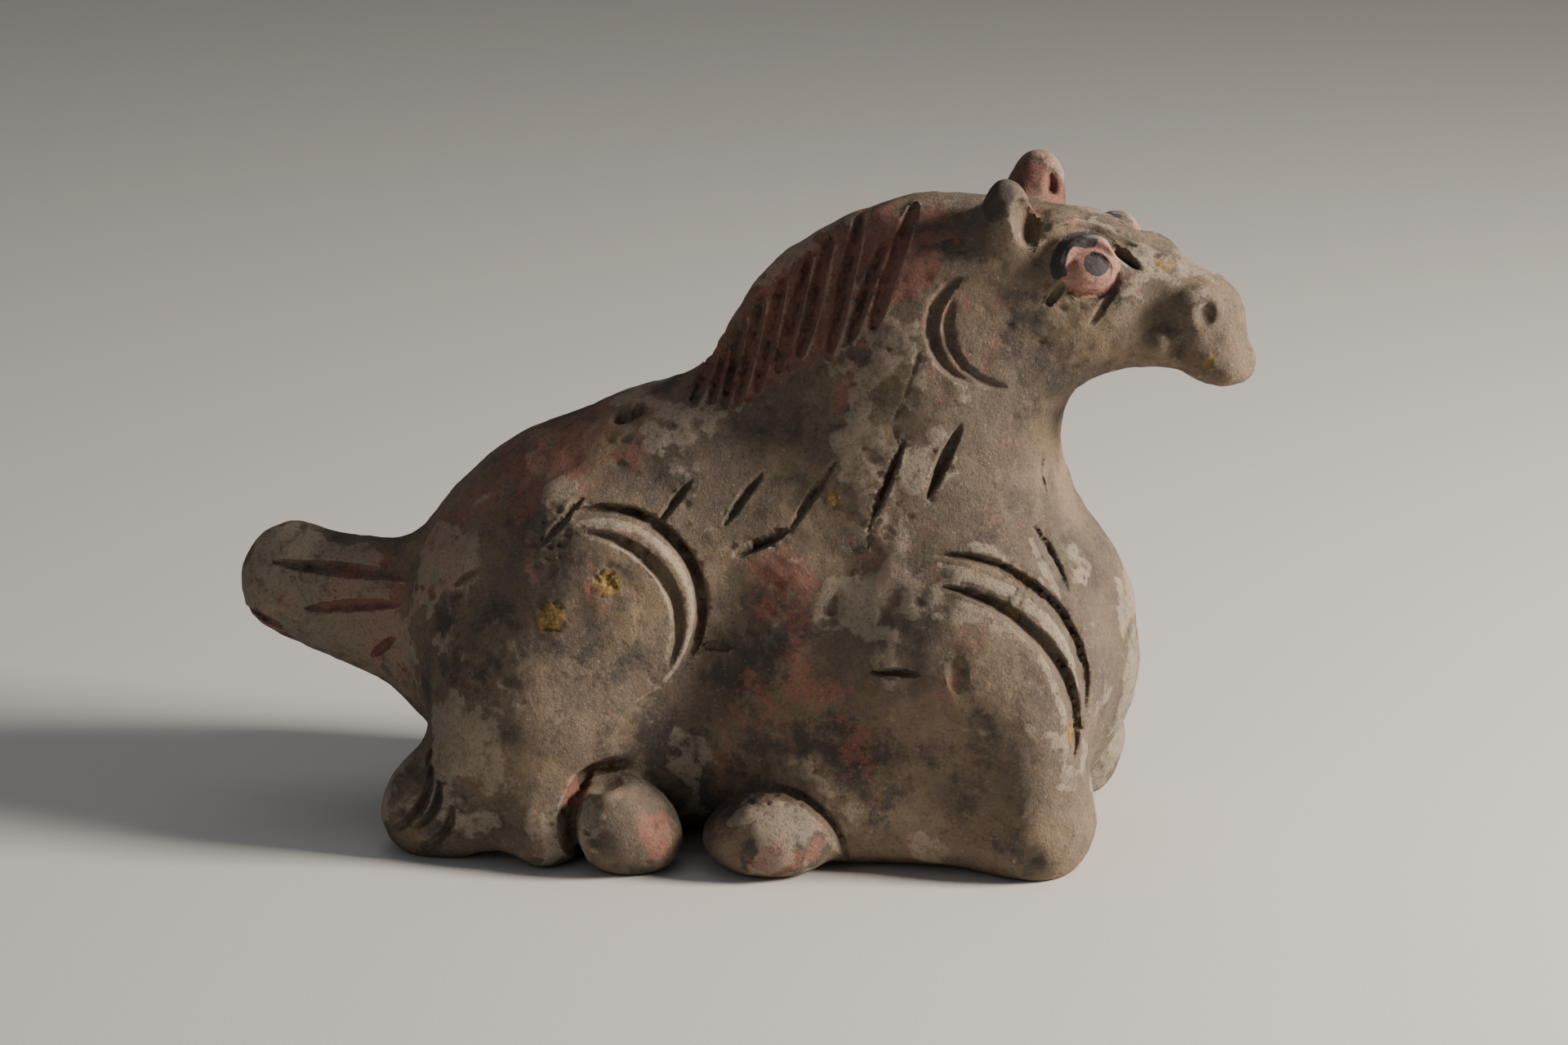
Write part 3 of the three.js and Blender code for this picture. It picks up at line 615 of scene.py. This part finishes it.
    def depth(self, p: Points) -> Values:
        """How deep the marks cut at places in sculpting coordinates, in mm."""
        fade = np.minimum(1.0, np.abs(p[:, 1]) / self.seam_fade)
        a = p[:, 0] + self.wander * lattice(p, self.wander_size, 41)
        b = p[:, 2] + self.wander * lattice(p, self.wander_size, 42)
        marks = self.every()
        both = deepest([mark for mark in marks if mark.side is Side.BOTH], a, b)
        right = deepest([mark for mark in marks if mark.side is Side.RIGHT], a, b)
        return fade * (both + np.where(p[:, 1] < 0, right, 0.0))


@dataclass(frozen=True)
class EyePaint:
    """Black slip and rose paint on the eyes; each pair is where an edge starts and ends."""

    middle: Pair = (-1.3, -0.2)
    pupil: Pair = (0.6, 0.0)
    pupil_edge: Pair = (3.6, 4.3)
    lid_start: Pair = (66, 80)
    lid_end: Pair = (196, 214)
    lid_inner: Pair = (7.0, 7.8)
    lid_outer: Pair = (11.0, 13.0)
    lid_above: Pair = (4.6, 5.4)
    rose_edge: Pair = (8.6, 10.6)
    deep: float = 10.0
    lowest: float = 150.0

    def shares(self, head: Head, p: Points) -> tuple[Values, Values]:
        """How much paint there is at each place, by the eye's own plane.

        Args:
            head: The head that carries the eyes.
            p: Places in mm.

        Returns:
            Black slip on the pupil and the outer lid; rose on the eyeball and the inner lid.
        """
        q = head.eye.local(head.frame().local(p))
        near = (np.abs(q[:, 2]) < self.deep) & (p[:, 2] > self.lowest)
        along, above = q[:, 0] - self.middle[0], q[:, 1] - self.middle[1]
        ring = np.hypot(along, above)
        angle = np.degrees(np.arctan2(above, along)) % 360
        aside = np.hypot(q[:, 0] - self.pupil[0], q[:, 1] - self.pupil[1])
        pupil = 1.0 - ramp(aside, *self.pupil_edge)
        outer = ramp(angle, *self.lid_start) * (1.0 - ramp(angle, *self.lid_end))
        beyond = np.maximum(ramp(ring, *self.lid_inner), ramp(q[:, 1], *self.lid_above))
        lid = outer * beyond * (1.0 - ramp(ring, *self.lid_outer))
        ball = 1.0 - ramp(ring, *self.rose_edge)
        return np.where(near, np.maximum(pupil, lid), 0.0), np.where(near, ball, 0.0)


@dataclass
class Weathering:
    """What hands, firing and burial left: uneven clay, pits, crumbs and stains."""

    seed: int = 7
    lumps: tuple[Pair, ...] = ((34, 0.9), (15, 0.7), (6.5, 0.42), (3.2, 0.22), (1.7, 0.1))
    pit_count: int = 1800
    pit_reach: Pair = (0.9, 2.4)
    pit_depth: Pair = (0.25, 0.95)
    crowd_size: float = 22.0
    crumb_depth: float = 1.1
    crumb_sizes: Pair = (1.7, 0.9)
    centres: Points = field(default_factory=lambda: np.empty((0, 3)))
    reaches: Values = field(default_factory=lambda: np.empty(0))
    depths: Values = field(default_factory=lambda: np.empty(0))
    patch_core: float = 0.45
    crumb_zones: tuple[Patch, ...] = (
        (-67.4, -58.4, 82.3, 8.5, 1.0), (-49, -55, 93.1, 7, 1.0), (20.5, -36, 118.3, 4.5, 1.0),
        (-1, -36, 138, 4, 1.0), (122, -18, 193, 7, 0.7), (78, -46, 91, 9, 0.5),
        (97, -52, 50, 7, 0.8), (137, -22, 163, 6, 0.7), (34, -38, 108, 9, 0.5),
    )
    ochre_zones: tuple[Patch, ...] = (
        (90, -50, 78, 34, 0.9), (88, -44, 104, 20, 0.8), (106, -24, 192, 14, 0.9),
        (78, -22, 200, 12, 0.7), (-27, -56, 84, 12, 0.5),
    )
    pigment: tuple[Patch, ...] = (
        (12, -14, 178, 34, 1.0), (-14, -10, 158, 24, 0.9), (38, -14, 190, 26, 0.9),
        (20, -30, 160, 20, 0.6), (-75, -22, 122, 34, 0.85), (-104, -26, 92, 22, 0.8),
        (-50, -16, 134, 26, 0.6), (-135, -8, 72, 26, 0.75), (-165, -8, 72, 18, 0.5),
        (-128, -12, 52, 14, 0.9), (76, -8, 208, 16, 0.7), (80, 14, 212, 16, 0.7),
        (100, -26, 194, 9, 0.9), (60, -32, 176, 20, 0.5), (4, -44, 90, 18, 0.8),
        (14, -44, 60, 24, 0.6), (32, -48, 48, 20, 0.5), (-6, -48, 56, 16, 0.5),
        (36, -40, 100, 14, 0.6), (-34, -62, 14, 13, 0.7), (-60, -58, 26, 9, 0.9),
        (6, -66, 6, 14, 0.6), (18, -62, 16, 7, 0.8), (60, -62, 60, 14, 0.4),
        (-52, -56, 88, 9, 0.35), (10, 16, 176, 40, 0.9), (-75, 24, 118, 36, 0.7),
        (20, 46, 80, 34, 0.5),
    )
    soot: tuple[Patch, ...] = (
        (66, -24, 214, 11, 1.0), (-28, -58, 86, 14, 0.8), (-48, -60, 62, 26, 0.5),
        (-92, -50, 70, 22, 0.35), (-106, -50, 16, 24, 0.7), (2, -66, 18, 22, 0.8),
        (-46, -66, 10, 16, 0.6), (-10, -50, 74, 28, 0.6), (30, -52, 40, 30, 0.6),
        (-26, -50, 34, 26, 0.7), (70, -56, 22, 20, 0.5), (86, -34, 168, 20, 0.5),
        (112, -26, 176, 16, 0.35), (132, -26, 172, 9, 0.5), (110, -28, 178, 10, 0.3),
        (0, 56, 60, 46, 0.5), (-110, 44, 20, 26, 0.6),
    )

    def unevenness(self, p: Points) -> Values:
        """Lumps and thumb marks of hand-shaped clay: height in mm, outwards."""
        return sum(
            deep * lattice(p, size, self.seed + n) for n, (size, deep) in enumerate(self.lumps)
        )

    def patches(self, rows: tuple[Patch, ...], p: Points) -> Values:
        """The strongest of several soft round patches at each place."""
        weights = []
        for *at, reach, strength in rows:
            away = np.linalg.norm(p - np.array(at), axis=1) / reach
            weights.append(strength * (1.0 - ramp(away, self.patch_core, 1.0)))
        return np.max(weights, axis=0)

    def scatter(self, p: Points) -> None:
        """Picks where the pits lie, among places on the surface.

        Args:
            p: Places in mm.
        """
        rng = np.random.default_rng(self.seed)
        self.centres = p[rng.choice(len(p), self.pit_count, replace=False)]
        self.reaches = rng.uniform(*self.pit_reach, self.pit_count)
        crowd = ramp(layered(self.centres, self.crowd_size, 91), -0.35, 0.35) * 0.8 + 0.2
        self.depths = rng.uniform(*self.pit_depth, self.pit_count) * crowd

    def pits(self, p: Points) -> Values:
        """Depth of pits and crumbled places in mm.

        Args:
            p: Places in mm.

        Returns:
            Depth at each place.
        """
        depth = np.zeros(len(p))
        order = np.argsort(p[:, 0])
        along = p[order, 0]
        for centre, radius, full in zip(self.centres, self.reaches, self.depths):
            first, last = np.searchsorted(along, (centre[0] - radius, centre[0] + radius))
            near = order[first:last]
            away = np.linalg.norm((p[near] - centre) * (1.0, 1.0, 1.35), axis=1) / radius
            depth[near] = np.maximum(depth[near], full * np.maximum(0.0, 1.0 - away**2))
        crumbs = self.patches(self.crumb_zones, p)
        coarse, fine = self.crumb_sizes
        rough = ramp(lattice(p, coarse, 55) + 0.5 * lattice(p, fine, 56), -0.1, 0.7)
        return depth + crumbs * rough * self.crumb_depth


@dataclass
class Clay:
    """The whole figure as one field of distances."""

    trunk: Trunk = field(default_factory=Trunk)
    legs: Legs = field(default_factory=Legs)
    head: Head = field(default_factory=Head)
    marks: ToolMarks = field(default_factory=ToolMarks)

    def distance(self, p: Points) -> Values:
        """Distances to the finished figure, cut off flat where it stands.

        Args:
            p: Places in sculpting coordinates, in mm.

        Returns:
            Distance of each place outside the clay.
        """
        d = self.trunk.distance(p)
        d = self.legs.distance(p, d)
        d = self.head.distance(p, d)
        side = p.copy()
        side[:, 1] = np.abs(side[:, 1])
        legs = self.legs
        d = hollowed([legs.waist, legs.fetlock_hollow, legs.hind_arch, legs.fore_arch], side, d)
        d = hollowed([self.trunk.vent], p, d)
        d = d + self.marks.depth(p)
        return -smoothed(-d, p[:, 2], self.trunk.standing_edge)

    def slope(self, p: Points, step: float = 0.15) -> tuple[Values, Points]:
        """Distances and their gradient.

        Args:
            p: Places in mm.
            step: Step of the differences in mm.

        Returns:
            Distances, and one gradient for each place.
        """
        d = self.distance(p)
        rise = [self.distance(p + step * axis) - d for axis in np.eye(3)]
        return d, np.stack(rise, axis=1) / step


def edit_whole(change: Callable[..., object], **settings: object) -> None:
    """Runs one mesh operator with its settings on the whole of the active object."""
    bpy.ops.object.mode_set(mode="EDIT")
    bpy.ops.mesh.select_all(action="SELECT")
    change(**settings)
    bpy.ops.object.mode_set(mode="OBJECT")


@dataclass
class PotteryHorse:
    """The fired clay figure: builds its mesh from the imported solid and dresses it; all in mm."""

    voxel: float = 2.4
    most_triangles: int = 194000
    same_corner: float = 0.01
    least_slope: float = 0.5
    most_step: float = 1.5
    least_mark: float = 0.02
    eye_reach: float = 19.0
    eye_depth: float = 9.0
    head_from: Pair = (60.0, 140.0)
    seen_within: Pair = (6.0, 4.0)
    beside_marks: Pair = (3.0, 1.2)
    clear_of_floor: float = 1.0
    look_out: Pair = (3.0, 9.0)
    standing: Pair = (0.2, 4.0)
    scored: Pair = (0.2, 1.2)
    clay: Clay = field(default_factory=Clay)
    weather: Weathering = field(default_factory=Weathering)
    piece: bpy.types.Object | None = None

    def sculpting(self, points: Points) -> Points:
        """Frame coordinates in metres to sculpting coordinates in mm."""
        return points / MM + SCULPT_CENTRE

    def placed(self, points: Points) -> Points:
        """Sculpting coordinates in mm to frame coordinates in metres."""
        return (points - SCULPT_CENTRE) * MM

    def corners(self) -> Points:
        """The mesh's corners in sculpting coordinates."""
        mesh = self.piece.data
        flat = np.empty(len(mesh.vertices) * 3)
        mesh.vertices.foreach_get("co", flat)
        return self.sculpting(flat.reshape(-1, 3))

    def move(self, points: Points) -> None:
        """Puts the mesh's corners at places given in sculpting coordinates."""
        inside = points.copy()
        inside[:, 2] = np.maximum(inside[:, 2], 0.0)
        self.piece.data.vertices.foreach_set("co", self.placed(inside).ravel())
        self.piece.data.update()

    def copy_solid(self) -> None:
        """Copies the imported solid, merges its loose triangles and remeshes it evenly."""
        bpy.ops.object.select_all(action="DESELECT")
        solid = frame["nodes"][NODE]
        self.piece = solid.copy()
        self.piece.data = solid.data.copy()
        self.piece.name = "pottery_horse"
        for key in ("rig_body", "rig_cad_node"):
            if key in self.piece:
                del self.piece[key]
        self.piece.parent = None
        self.piece.data.materials.clear()
        bpy.context.scene.collection.objects.link(self.piece)
        bpy.context.view_layer.objects.active = self.piece
        self.piece.select_set(True)
        edit_whole(bpy.ops.mesh.remove_doubles, threshold=self.same_corner * MM)
        remesh = self.piece.modifiers.new("even_grain", "REMESH")
        remesh.mode = "VOXEL"
        remesh.voxel_size = self.voxel * MM
        bpy.ops.object.modifier_apply(modifier=remesh.name)

    def settle(self, passes: int, relax: float = 0.0) -> None:
        """Draws the corners down the slope on to the clay's surface.

        Args:
            passes: How many steps to take.
            relax: How far corners first slide towards the middle of their neighbours.
        """
        p = self.corners()
        for _ in range(passes):
            if relax > 0:
                p += relax * (self.neighbour_mean(p) - p)
            d, slope = self.clay.slope(p)
            size = np.maximum((slope**2).sum(axis=1), self.least_slope)
            p -= slope * np.clip(d / size, -self.most_step, self.most_step)[:, None]
        self.move(p)

    def neighbour_mean(self, values: Points) -> Points:
        """The mean of the neighbours' values at each corner."""
        mesh = self.piece.data
        ends = np.empty(len(mesh.edges) * 2, dtype=np.int32)
        mesh.edges.foreach_get("vertices", ends)
        pairs = ends.reshape(-1, 2)
        total = np.zeros_like(values)
        count = np.zeros(len(values))
        for a, b in ((0, 1), (1, 0)):
            np.add.at(total, pairs[:, a], values[pairs[:, b]])
            np.add.at(count, pairs[:, a], 1.0)
        return (total.T / np.maximum(count, 1.0)).T

    def refine(self, wanted: Values) -> None:
        """Splits the faces whose corners are all wanted finer.

        Args:
            wanted: True for each corner that needs finer faces.
        """
        mesh = self.piece.data
        bpy.ops.object.mode_set(mode="EDIT")
        bpy.ops.mesh.select_mode(type="VERT")
        bpy.ops.mesh.select_all(action="DESELECT")
        bpy.ops.object.mode_set(mode="OBJECT")
        mesh.vertices.foreach_set("select", wanted)
        bpy.ops.object.mode_set(mode="EDIT")
        bpy.ops.mesh.select_mode(type="FACE")
        bpy.ops.mesh.subdivide(number_cuts=1)
        bpy.ops.mesh.select_mode(type="VERT")
        bpy.ops.object.mode_set(mode="OBJECT")

    def near_marks(self, p: Points, reach: float) -> Values:
        """Whether each place lies on or beside carving, within reach in mm."""
        near = np.zeros(len(p), dtype=bool)
        for along in (-reach, 0.0, reach):
            for up in (-reach, 0.0, reach):
                moved = p + np.array([along, 0.0, up])
                near |= np.abs(self.clay.marks.depth(moved)) > self.least_mark
        q = self.clay.head.eye.local(self.clay.head.frame().local(p))
        near |= (np.hypot(q[:, 0], q[:, 1]) < self.eye_reach) & (
            np.abs(q[:, 2]) < self.eye_depth)
        return near

    def normals(self, p: Points) -> Points:
        """Unit normals of the unweathered clay."""
        slope = self.clay.slope(p)[1]
        return slope / np.maximum(np.linalg.norm(slope, axis=1), 1e-6)[:, None]

    def weather_surface(self) -> None:
        """Moves the corners by the clay's unevenness, pits and crumbs."""
        p = self.corners()
        self.weather.scatter(p)
        standing = ramp(p[:, 2], *self.standing)
        fine = 1.0 - ramp(np.abs(self.clay.marks.depth(p)), *self.scored)
        rise = self.weather.unevenness(p) * (0.35 + 0.65 * fine)
        self.move(p + self.normals(p) * ((rise - self.weather.pits(p)) * standing)[:, None])

    def thin(self) -> None:
        """Turns the faces to triangles and merges them where the surface is plain."""
        edit_whole(bpy.ops.mesh.quads_convert_to_tris)
        share = self.most_triangles / len(self.piece.data.polygons)
        if share < 1.0:
            thinner = self.piece.modifiers.new("fewer_faces", "DECIMATE")
            thinner.ratio = share
            bpy.ops.object.modifier_apply(modifier=thinner.name)

    def keep_masks(self) -> None:
        """Stores where soil with painted shade in cuts, pits and hollows, soot, pigment and wear
        lie, for the material.
        """
        p = self.corners()
        normals = self.normals(p)
        sunk = self.weather.pits(p)
        cut = self.clay.marks.depth(p)
        open_near, open_far = (
            self.clay.distance(p + reach * normals) / reach for reach in self.look_out)
        # How enclosed each place is: paints shade into hollows, folds and undersides through the
        # soil mask.
        hollow_shade = ramp(1.0 - np.minimum(open_near, open_far), 0.05, 0.75)
        grain = layered(p, 9, 21)
        weather = self.weather
        crumbs = weather.patches(weather.crumb_zones, p)
        # Soil in cuts and pits mixed with painted shade in deep cuts, pits and enclosed hollows; it
        # also places the ochre.
        dirt_and_shade = 0.6 * ramp(cut, 0.8, 3.2) + 0.5 * hollow_shade + 0.7 * ramp(sunk, 0.3, 0.9)
        zones = weather.patches(weather.ochre_zones, p) * np.clip(dirt_and_shade, 0, 1)
        slip, rose = EyePaint().shares(self.clay.head, p)
        masks = {
            # Dark soil mask: real soil plus painted shade in cuts, pits and hollows.
            "soil_and_shade": np.clip(dirt_and_shade, 0, 1) * ramp(grain, -0.75, 0.15),
            "ochre": np.maximum(crumbs, zones * ramp(grain, -0.4, 0.3)),
            "pigment": weather.patches(weather.pigment, p),
            "soot": weather.patches(weather.soot, p),
            "wear": ramp(open_near, 0.99, 1.1) * (1.0 - ramp(cut, 0.05, 0.4)),
            "slip": slip,
            "rose": rose,
        }
        for name, values in masks.items():
            layer = self.piece.data.attributes.new(name, "FLOAT", "POINT")
            layer.data.foreach_set("value", values.astype(np.float32))

    def build(self) -> bpy.types.Object:
        """Makes the figure's mesh.

        Returns:
            The finished piece.
        """
        self.copy_solid()
        self.settle(3, relax=0.4)
        p = self.corners()
        facing = (p[:, 1] < self.seen_within[0]) & (p[:, 2] > self.clear_of_floor)
        head = (p[:, 0] > self.head_from[0]) & (p[:, 2] > self.head_from[1])
        self.refine(facing | self.near_marks(p, self.beside_marks[0]) | head)
        self.settle(2, relax=0.25)
        p = self.corners()
        facing = (p[:, 1] < self.seen_within[1]) & (p[:, 2] > self.clear_of_floor)
        self.refine(self.near_marks(p, self.beside_marks[1]) & facing)
        self.settle(2, relax=0.15)
        self.weather_surface()
        self.thin()
        self.keep_masks()
        edit_whole(bpy.ops.mesh.normals_make_consistent, inside=False)
        bpy.ops.object.shade_smooth()
        log.info("pottery_horse: %d triangles", len(self.piece.data.polygons))
        return self.piece

    def dress(self, finish: "LowFiredPottery") -> None:
        """Gives the figure its finish, attaches it to the root body and hides the imported solid.
        """
        self.piece.data.materials.append(finish.material())
        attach(self.piece, "root")
        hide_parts(NODE)


def linear(code: str) -> tuple[float, float, float, float]:
    """An sRGB hex colour as linear RGBA."""
    parts = [int(code.lstrip("#")[n:n + 2], 16) / 255 for n in (0, 2, 4)]
    turned = [c / 12.92 if c <= 0.04045 else ((c + 0.055) / 1.055) ** 2.4 for c in parts]
    return (*turned, 1.0)


@dataclass
class NodeBench:
    """A material's node tree, with the one function that adds a node."""

    name: str

    def __post_init__(self) -> None:
        """Makes an empty node tree."""
        self.material = bpy.data.materials.new(self.name)
        self.material.use_nodes = True
        self.tree = self.material.node_tree
        self.tree.nodes.clear()

    def add(self, kind: str, links: dict | None = None, **settings: object) -> bpy.types.Node:
        """Adds a node with its settings and links.

        Args:
            kind: The node's type name.
            links: Values or other nodes' outputs, by input name or number.
            **settings: Properties of the node.

        Returns:
            The new node.
        """
        node = self.tree.nodes.new(kind)
        for key, value in settings.items():
            setattr(node, key, value)
        for key, value in (links or {}).items():
            socket = node.inputs[key]
            if isinstance(value, bpy.types.NodeSocket):
                self.tree.links.new(value, socket)
            else:
                socket.default_value = value
        return node


@dataclass(frozen=True)
class Grain:
    """One noise of a real size; stretch draws it out along the wiping hand."""

    size_mm: float
    detail: float
    rough: float
    stretch: Triple = (1.0, 1.0, 1.0)


@dataclass(frozen=True)
class Coat:
    """One colour that shows where a grain, helped by a mask, rises from low to high."""

    colour: str
    grain: str
    low: float
    high: float
    strength: float
    mask: str = ""
    weight: float = 0.0


@dataclass(frozen=True)
class LowFiredPottery:
    """Low-fired grey pottery, hand-shaped, with worn cold pigment and burial soil.

    To the eye: dry and matt, a mottled brown-grey skin smoked charcoal in places, gritty close
    to, with pink and red paint left in flakes, dark earth with painted shade in the cuts and
    hollows, and ochre crumbs.
    """

    clay: str = "#655a50"
    grains: tuple[tuple[str, Grain], ...] = (
        ("mottle", Grain(46, 8, 0.68)),
        ("smoke", Grain(21, 10, 0.74)),
        ("bloom", Grain(19, 10, 0.8)),
        ("flake", Grain(13, 10, 0.78)),
        ("chip", Grain(6, 8, 0.78)),
        ("grit", Grain(1.1, 4, 0.7)),
        ("wiped", Grain(3.2, 4, 0.62, (0.3, 0.8, 1.0))),
    )
    coats: tuple[Coat, ...] = (
        Coat("#82725f", "mottle", 0.40, 0.64, 1.0),
        Coat("#524a44", "smoke", 0.46, 0.62, 0.65),
        Coat("#413e3c", "smoke", 0.55, 0.68, 0.7, "soot", 0.18),
        Coat("#96897a", "bloom", 0.54, 0.68, 0.34),
        Coat("#8f6257", "flake", 0.58, 0.67, 0.7, "pigment", 0.19),
        Coat("#6f443b", "chip", 0.63, 0.72, 0.5, "pigment", 0.16),
        Coat("#a87d72", "chip", 0.78, 0.92, 0.9, "rose", 0.6),
        Coat("#3d3c41", "chip", 0.74, 0.88, 0.95, "slip", 0.6),
        Coat("#b8ab99", "chip", 0.72, 0.94, 0.4, "wear", 0.4),
        # Dark earth in cuts and pits, also painted shade in cuts and enclosed hollows.
        Coat("#3d3027", "chip", 0.86, 1.12, 0.7, "soil_and_shade", 0.6),
        Coat("#866d3e", "chip", 0.84, 1.0, 0.85, "ochre", 0.6),
        Coat("#a89260", "grit", 0.98, 1.1, 0.7, "ochre", 0.5),
        Coat("#433b33", "grit", 0.47, 0.33, 0.5),
        Coat("#c2b6a4", "grit", 0.60, 0.73, 0.42),
    )
    roughness: Pair = (0.80, 0.96)
    relief_mm: float = 0.8
    grit_share: float = 0.7
    wiped_share: float = 0.3

    def material(self) -> bpy.types.Material:
        """Builds the finish as nodes on Object coordinates and the figure's masks.

        Returns:
            The finished material.
        """
        bench = NodeBench("low_fired_grey_pottery")
        place = bench.add("ShaderNodeTexCoord").outputs["Object"]
        levels = {}
        for n, (name, grain) in enumerate(self.grains):
            moved = bench.add("ShaderNodeMapping", {
                0: place, "Location": (0.37 * n, 0.61 * n, 0.23 * n), "Scale": grain.stretch})
            levels[name] = bench.add("ShaderNodeTexNoise", {
                "Vector": moved.outputs[0], "Scale": 1.0 / (grain.size_mm * MM),
                "Detail": grain.detail, "Roughness": grain.rough}).outputs["Fac"]
        skin = linear(self.clay)
        for coat in self.coats:
            level = levels[coat.grain]
            if coat.mask:
                where = bench.add("ShaderNodeAttribute", attribute_name=coat.mask).outputs["Fac"]
                level = bench.add("ShaderNodeMath", {0: where, 1: coat.weight, 2: level},
                                  operation="MULTIPLY_ADD").outputs[0]
            share = bench.add("ShaderNodeMapRange", {
                "Value": level, "From Min": coat.low, "From Max": coat.high,
                "To Max": coat.strength}, interpolation_type="SMOOTHSTEP").outputs[0]
            skin = bench.add("ShaderNodeMix", {"Factor": share, 6: skin, 7: linear(coat.colour)},
                             data_type="RGBA").outputs[2]
        rough = bench.add("ShaderNodeMapRange", {
            "Value": levels["chip"], "To Min": self.roughness[1],
            "To Max": self.roughness[0]}).outputs[0]
        relief = levels["chip"]
        for name, share in (("grit", self.grit_share), ("wiped", self.wiped_share)):
            relief = bench.add("ShaderNodeMath", {0: levels[name], 1: share, 2: relief},
                               operation="MULTIPLY_ADD").outputs[0]
        bump = bench.add("ShaderNodeBump", {"Height": relief, "Strength": 1.0,
                                            "Distance": self.relief_mm * MM})
        shader = bench.add("ShaderNodeBsdfPrincipled", {
            "Base Color": skin, "Roughness": rough, "IOR": 1.45, "Normal": bump.outputs[0],
            "Specular IOR Level": 0.35})
        bench.add("ShaderNodeOutputMaterial", {"Surface": shader.outputs[0]})
        return bench.material


@dataclass(frozen=True)
class PaleFloor:
    """Seamless pale paper, matt, as on a studio table."""

    paper: str = "#d9d7d3"

    def material(self) -> bpy.types.Material:
        """A plain matt finish with a faint tooth."""
        bench = NodeBench("pale_studio_paper")
        place = bench.add("ShaderNodeTexCoord").outputs["Object"]
        tooth = bench.add("ShaderNodeTexNoise", {"Vector": place, "Scale": 900.0}).outputs["Fac"]
        bump = bench.add("ShaderNodeBump", {"Height": tooth, "Strength": 0.05})
        shader = bench.add("ShaderNodeBsdfPrincipled", {
            "Base Color": linear(self.paper), "Roughness": 0.85, "Normal": bump.outputs[0]})
        bench.add("ShaderNodeOutputMaterial", {"Surface": shader.outputs[0]})
        return bench.material


@dataclass(frozen=True)
class Softbox:
    """A square soft light, placed in metres right of, towards and above the camera's aim."""

    name: str
    right: float
    back: float
    up: float
    watts: float
    size: float
    tint: str


@dataclass
class Studio:
    """Floor, soft lights and the camera at the photograph's angle."""

    azimuth: float = 7.0
    elevation: float = 15.0
    distance: float = 1.41
    lens_mm: float = 100.0
    sensor_mm: float = 36.0
    target_mm: Triple = (0.0, 0.0, 100.06)
    floor_size: float = 6.0
    floor_sweep: Triple = (0, 0.8, 2.6)
    lit: Triple = (0, 0, 0.09)
    softboxes: tuple[Softbox, ...] = (
        Softbox("key_softbox", 1.5, 0.35, 0.65, 66.0, 0.42, "#fff3e4"),
        Softbox("fill_softbox", -1.0, 1.3, 0.5, 1.5, 1.2, "#eef2ff"),
        Softbox("top_softbox", 0.0, -0.3, 1.6, 2.6, 1.2, "#ffffff"),
    )
    sky: str = "#e9ebef"
    sky_strength: float = 0.12

    def back(self) -> Vector:
        """Unit vector from the figure to the camera."""
        a, e = math.radians(self.azimuth), math.radians(self.elevation)
        return Vector((math.sin(a) * math.cos(e), -math.cos(a) * math.cos(e), math.sin(e)))

    def target(self) -> Vector:
        """What the camera looks at, in the frame."""
        return Vector(np.array(self.target_mm) - SCULPT_CENTRE) * MM

    def floor(self) -> None:
        """Lays the floor: a sheet that sweeps up far behind the figure."""
        bpy.ops.object.select_all(action="DESELECT")
        bpy.ops.mesh.primitive_plane_add(size=self.floor_size, location=(0, 0, 0))
        sheet = bpy.context.object
        sheet.name = "studio_paper"
        bpy.ops.object.mode_set(mode="EDIT")
        bpy.ops.mesh.select_mode(type="EDGE")
        bpy.ops.mesh.select_all(action="DESELECT")
        bpy.ops.object.mode_set(mode="OBJECT")
        for edge in sheet.data.edges:
            ends = [sheet.data.vertices[v].co.y for v in edge.vertices]
            edge.select = min(ends) > 0
        bpy.ops.object.mode_set(mode="EDIT")
        bpy.ops.mesh.extrude_region_move(TRANSFORM_OT_translate={"value": self.floor_sweep})
        bpy.ops.object.mode_set(mode="OBJECT")
        sheet.data.materials.append(PaleFloor().material())
        log.info("studio_paper: %d faces", len(sheet.data.polygons))

    def light(self, box: Softbox) -> None:
        """Hangs one softbox, placed by the camera's own directions, to face the figure."""
        back = self.back()
        right = Vector((-back.y, back.x, 0)).normalized()
        place = right * box.right + back * box.back + Vector((0, 0, 1)) * box.up
        lamp = bpy.data.lights.new(box.name, "AREA")
        lamp.energy, lamp.size = box.watts, box.size
        lamp.color = linear(box.tint)[:3]
        holder = bpy.data.objects.new(box.name, lamp)
        holder.location = place
        holder.rotation_euler = (place - Vector(self.lit)).to_track_quat("Z", "Y").to_euler()
        bpy.context.scene.collection.objects.link(holder)

    def lights(self) -> None:
        """A key from the right, a wide fill from the left, a top light and a soft sky."""
        for box in self.softboxes:
            self.light(box)
        world = bpy.data.worlds.new("soft_room")
        world.use_nodes = True
        sky = world.node_tree.nodes["Background"]
        sky.inputs["Color"].default_value = linear(self.sky)
        sky.inputs["Strength"].default_value = self.sky_strength
        bpy.context.scene.world = world

    def camera(self) -> None:
        """Sets the camera at the photograph's viewing angle."""
        view = bpy.data.cameras.new("photograph_view")
        view.sensor_width, view.lens = self.sensor_mm, self.lens_mm
        holder = bpy.data.objects.new("photograph_view", view)
        holder.location = self.target() + self.back() * self.distance
        holder.rotation_euler = self.back().to_track_quat("Z", "Y").to_euler()
        bpy.context.scene.collection.objects.link(holder)
        bpy.context.scene.camera = holder


def main() -> None:
    """Builds and dresses the figure, then sets up the studio."""
    logging.basicConfig(level=logging.INFO, format="%(name)s: %(message)s")
    studio = Studio()
    studio.camera()
    horse = PotteryHorse()
    horse.build()
    horse.dress(LowFiredPottery())
    studio.floor()
    studio.lights()
    bpy.context.view_layer.update()


if __name__ == "__main__":
    main()
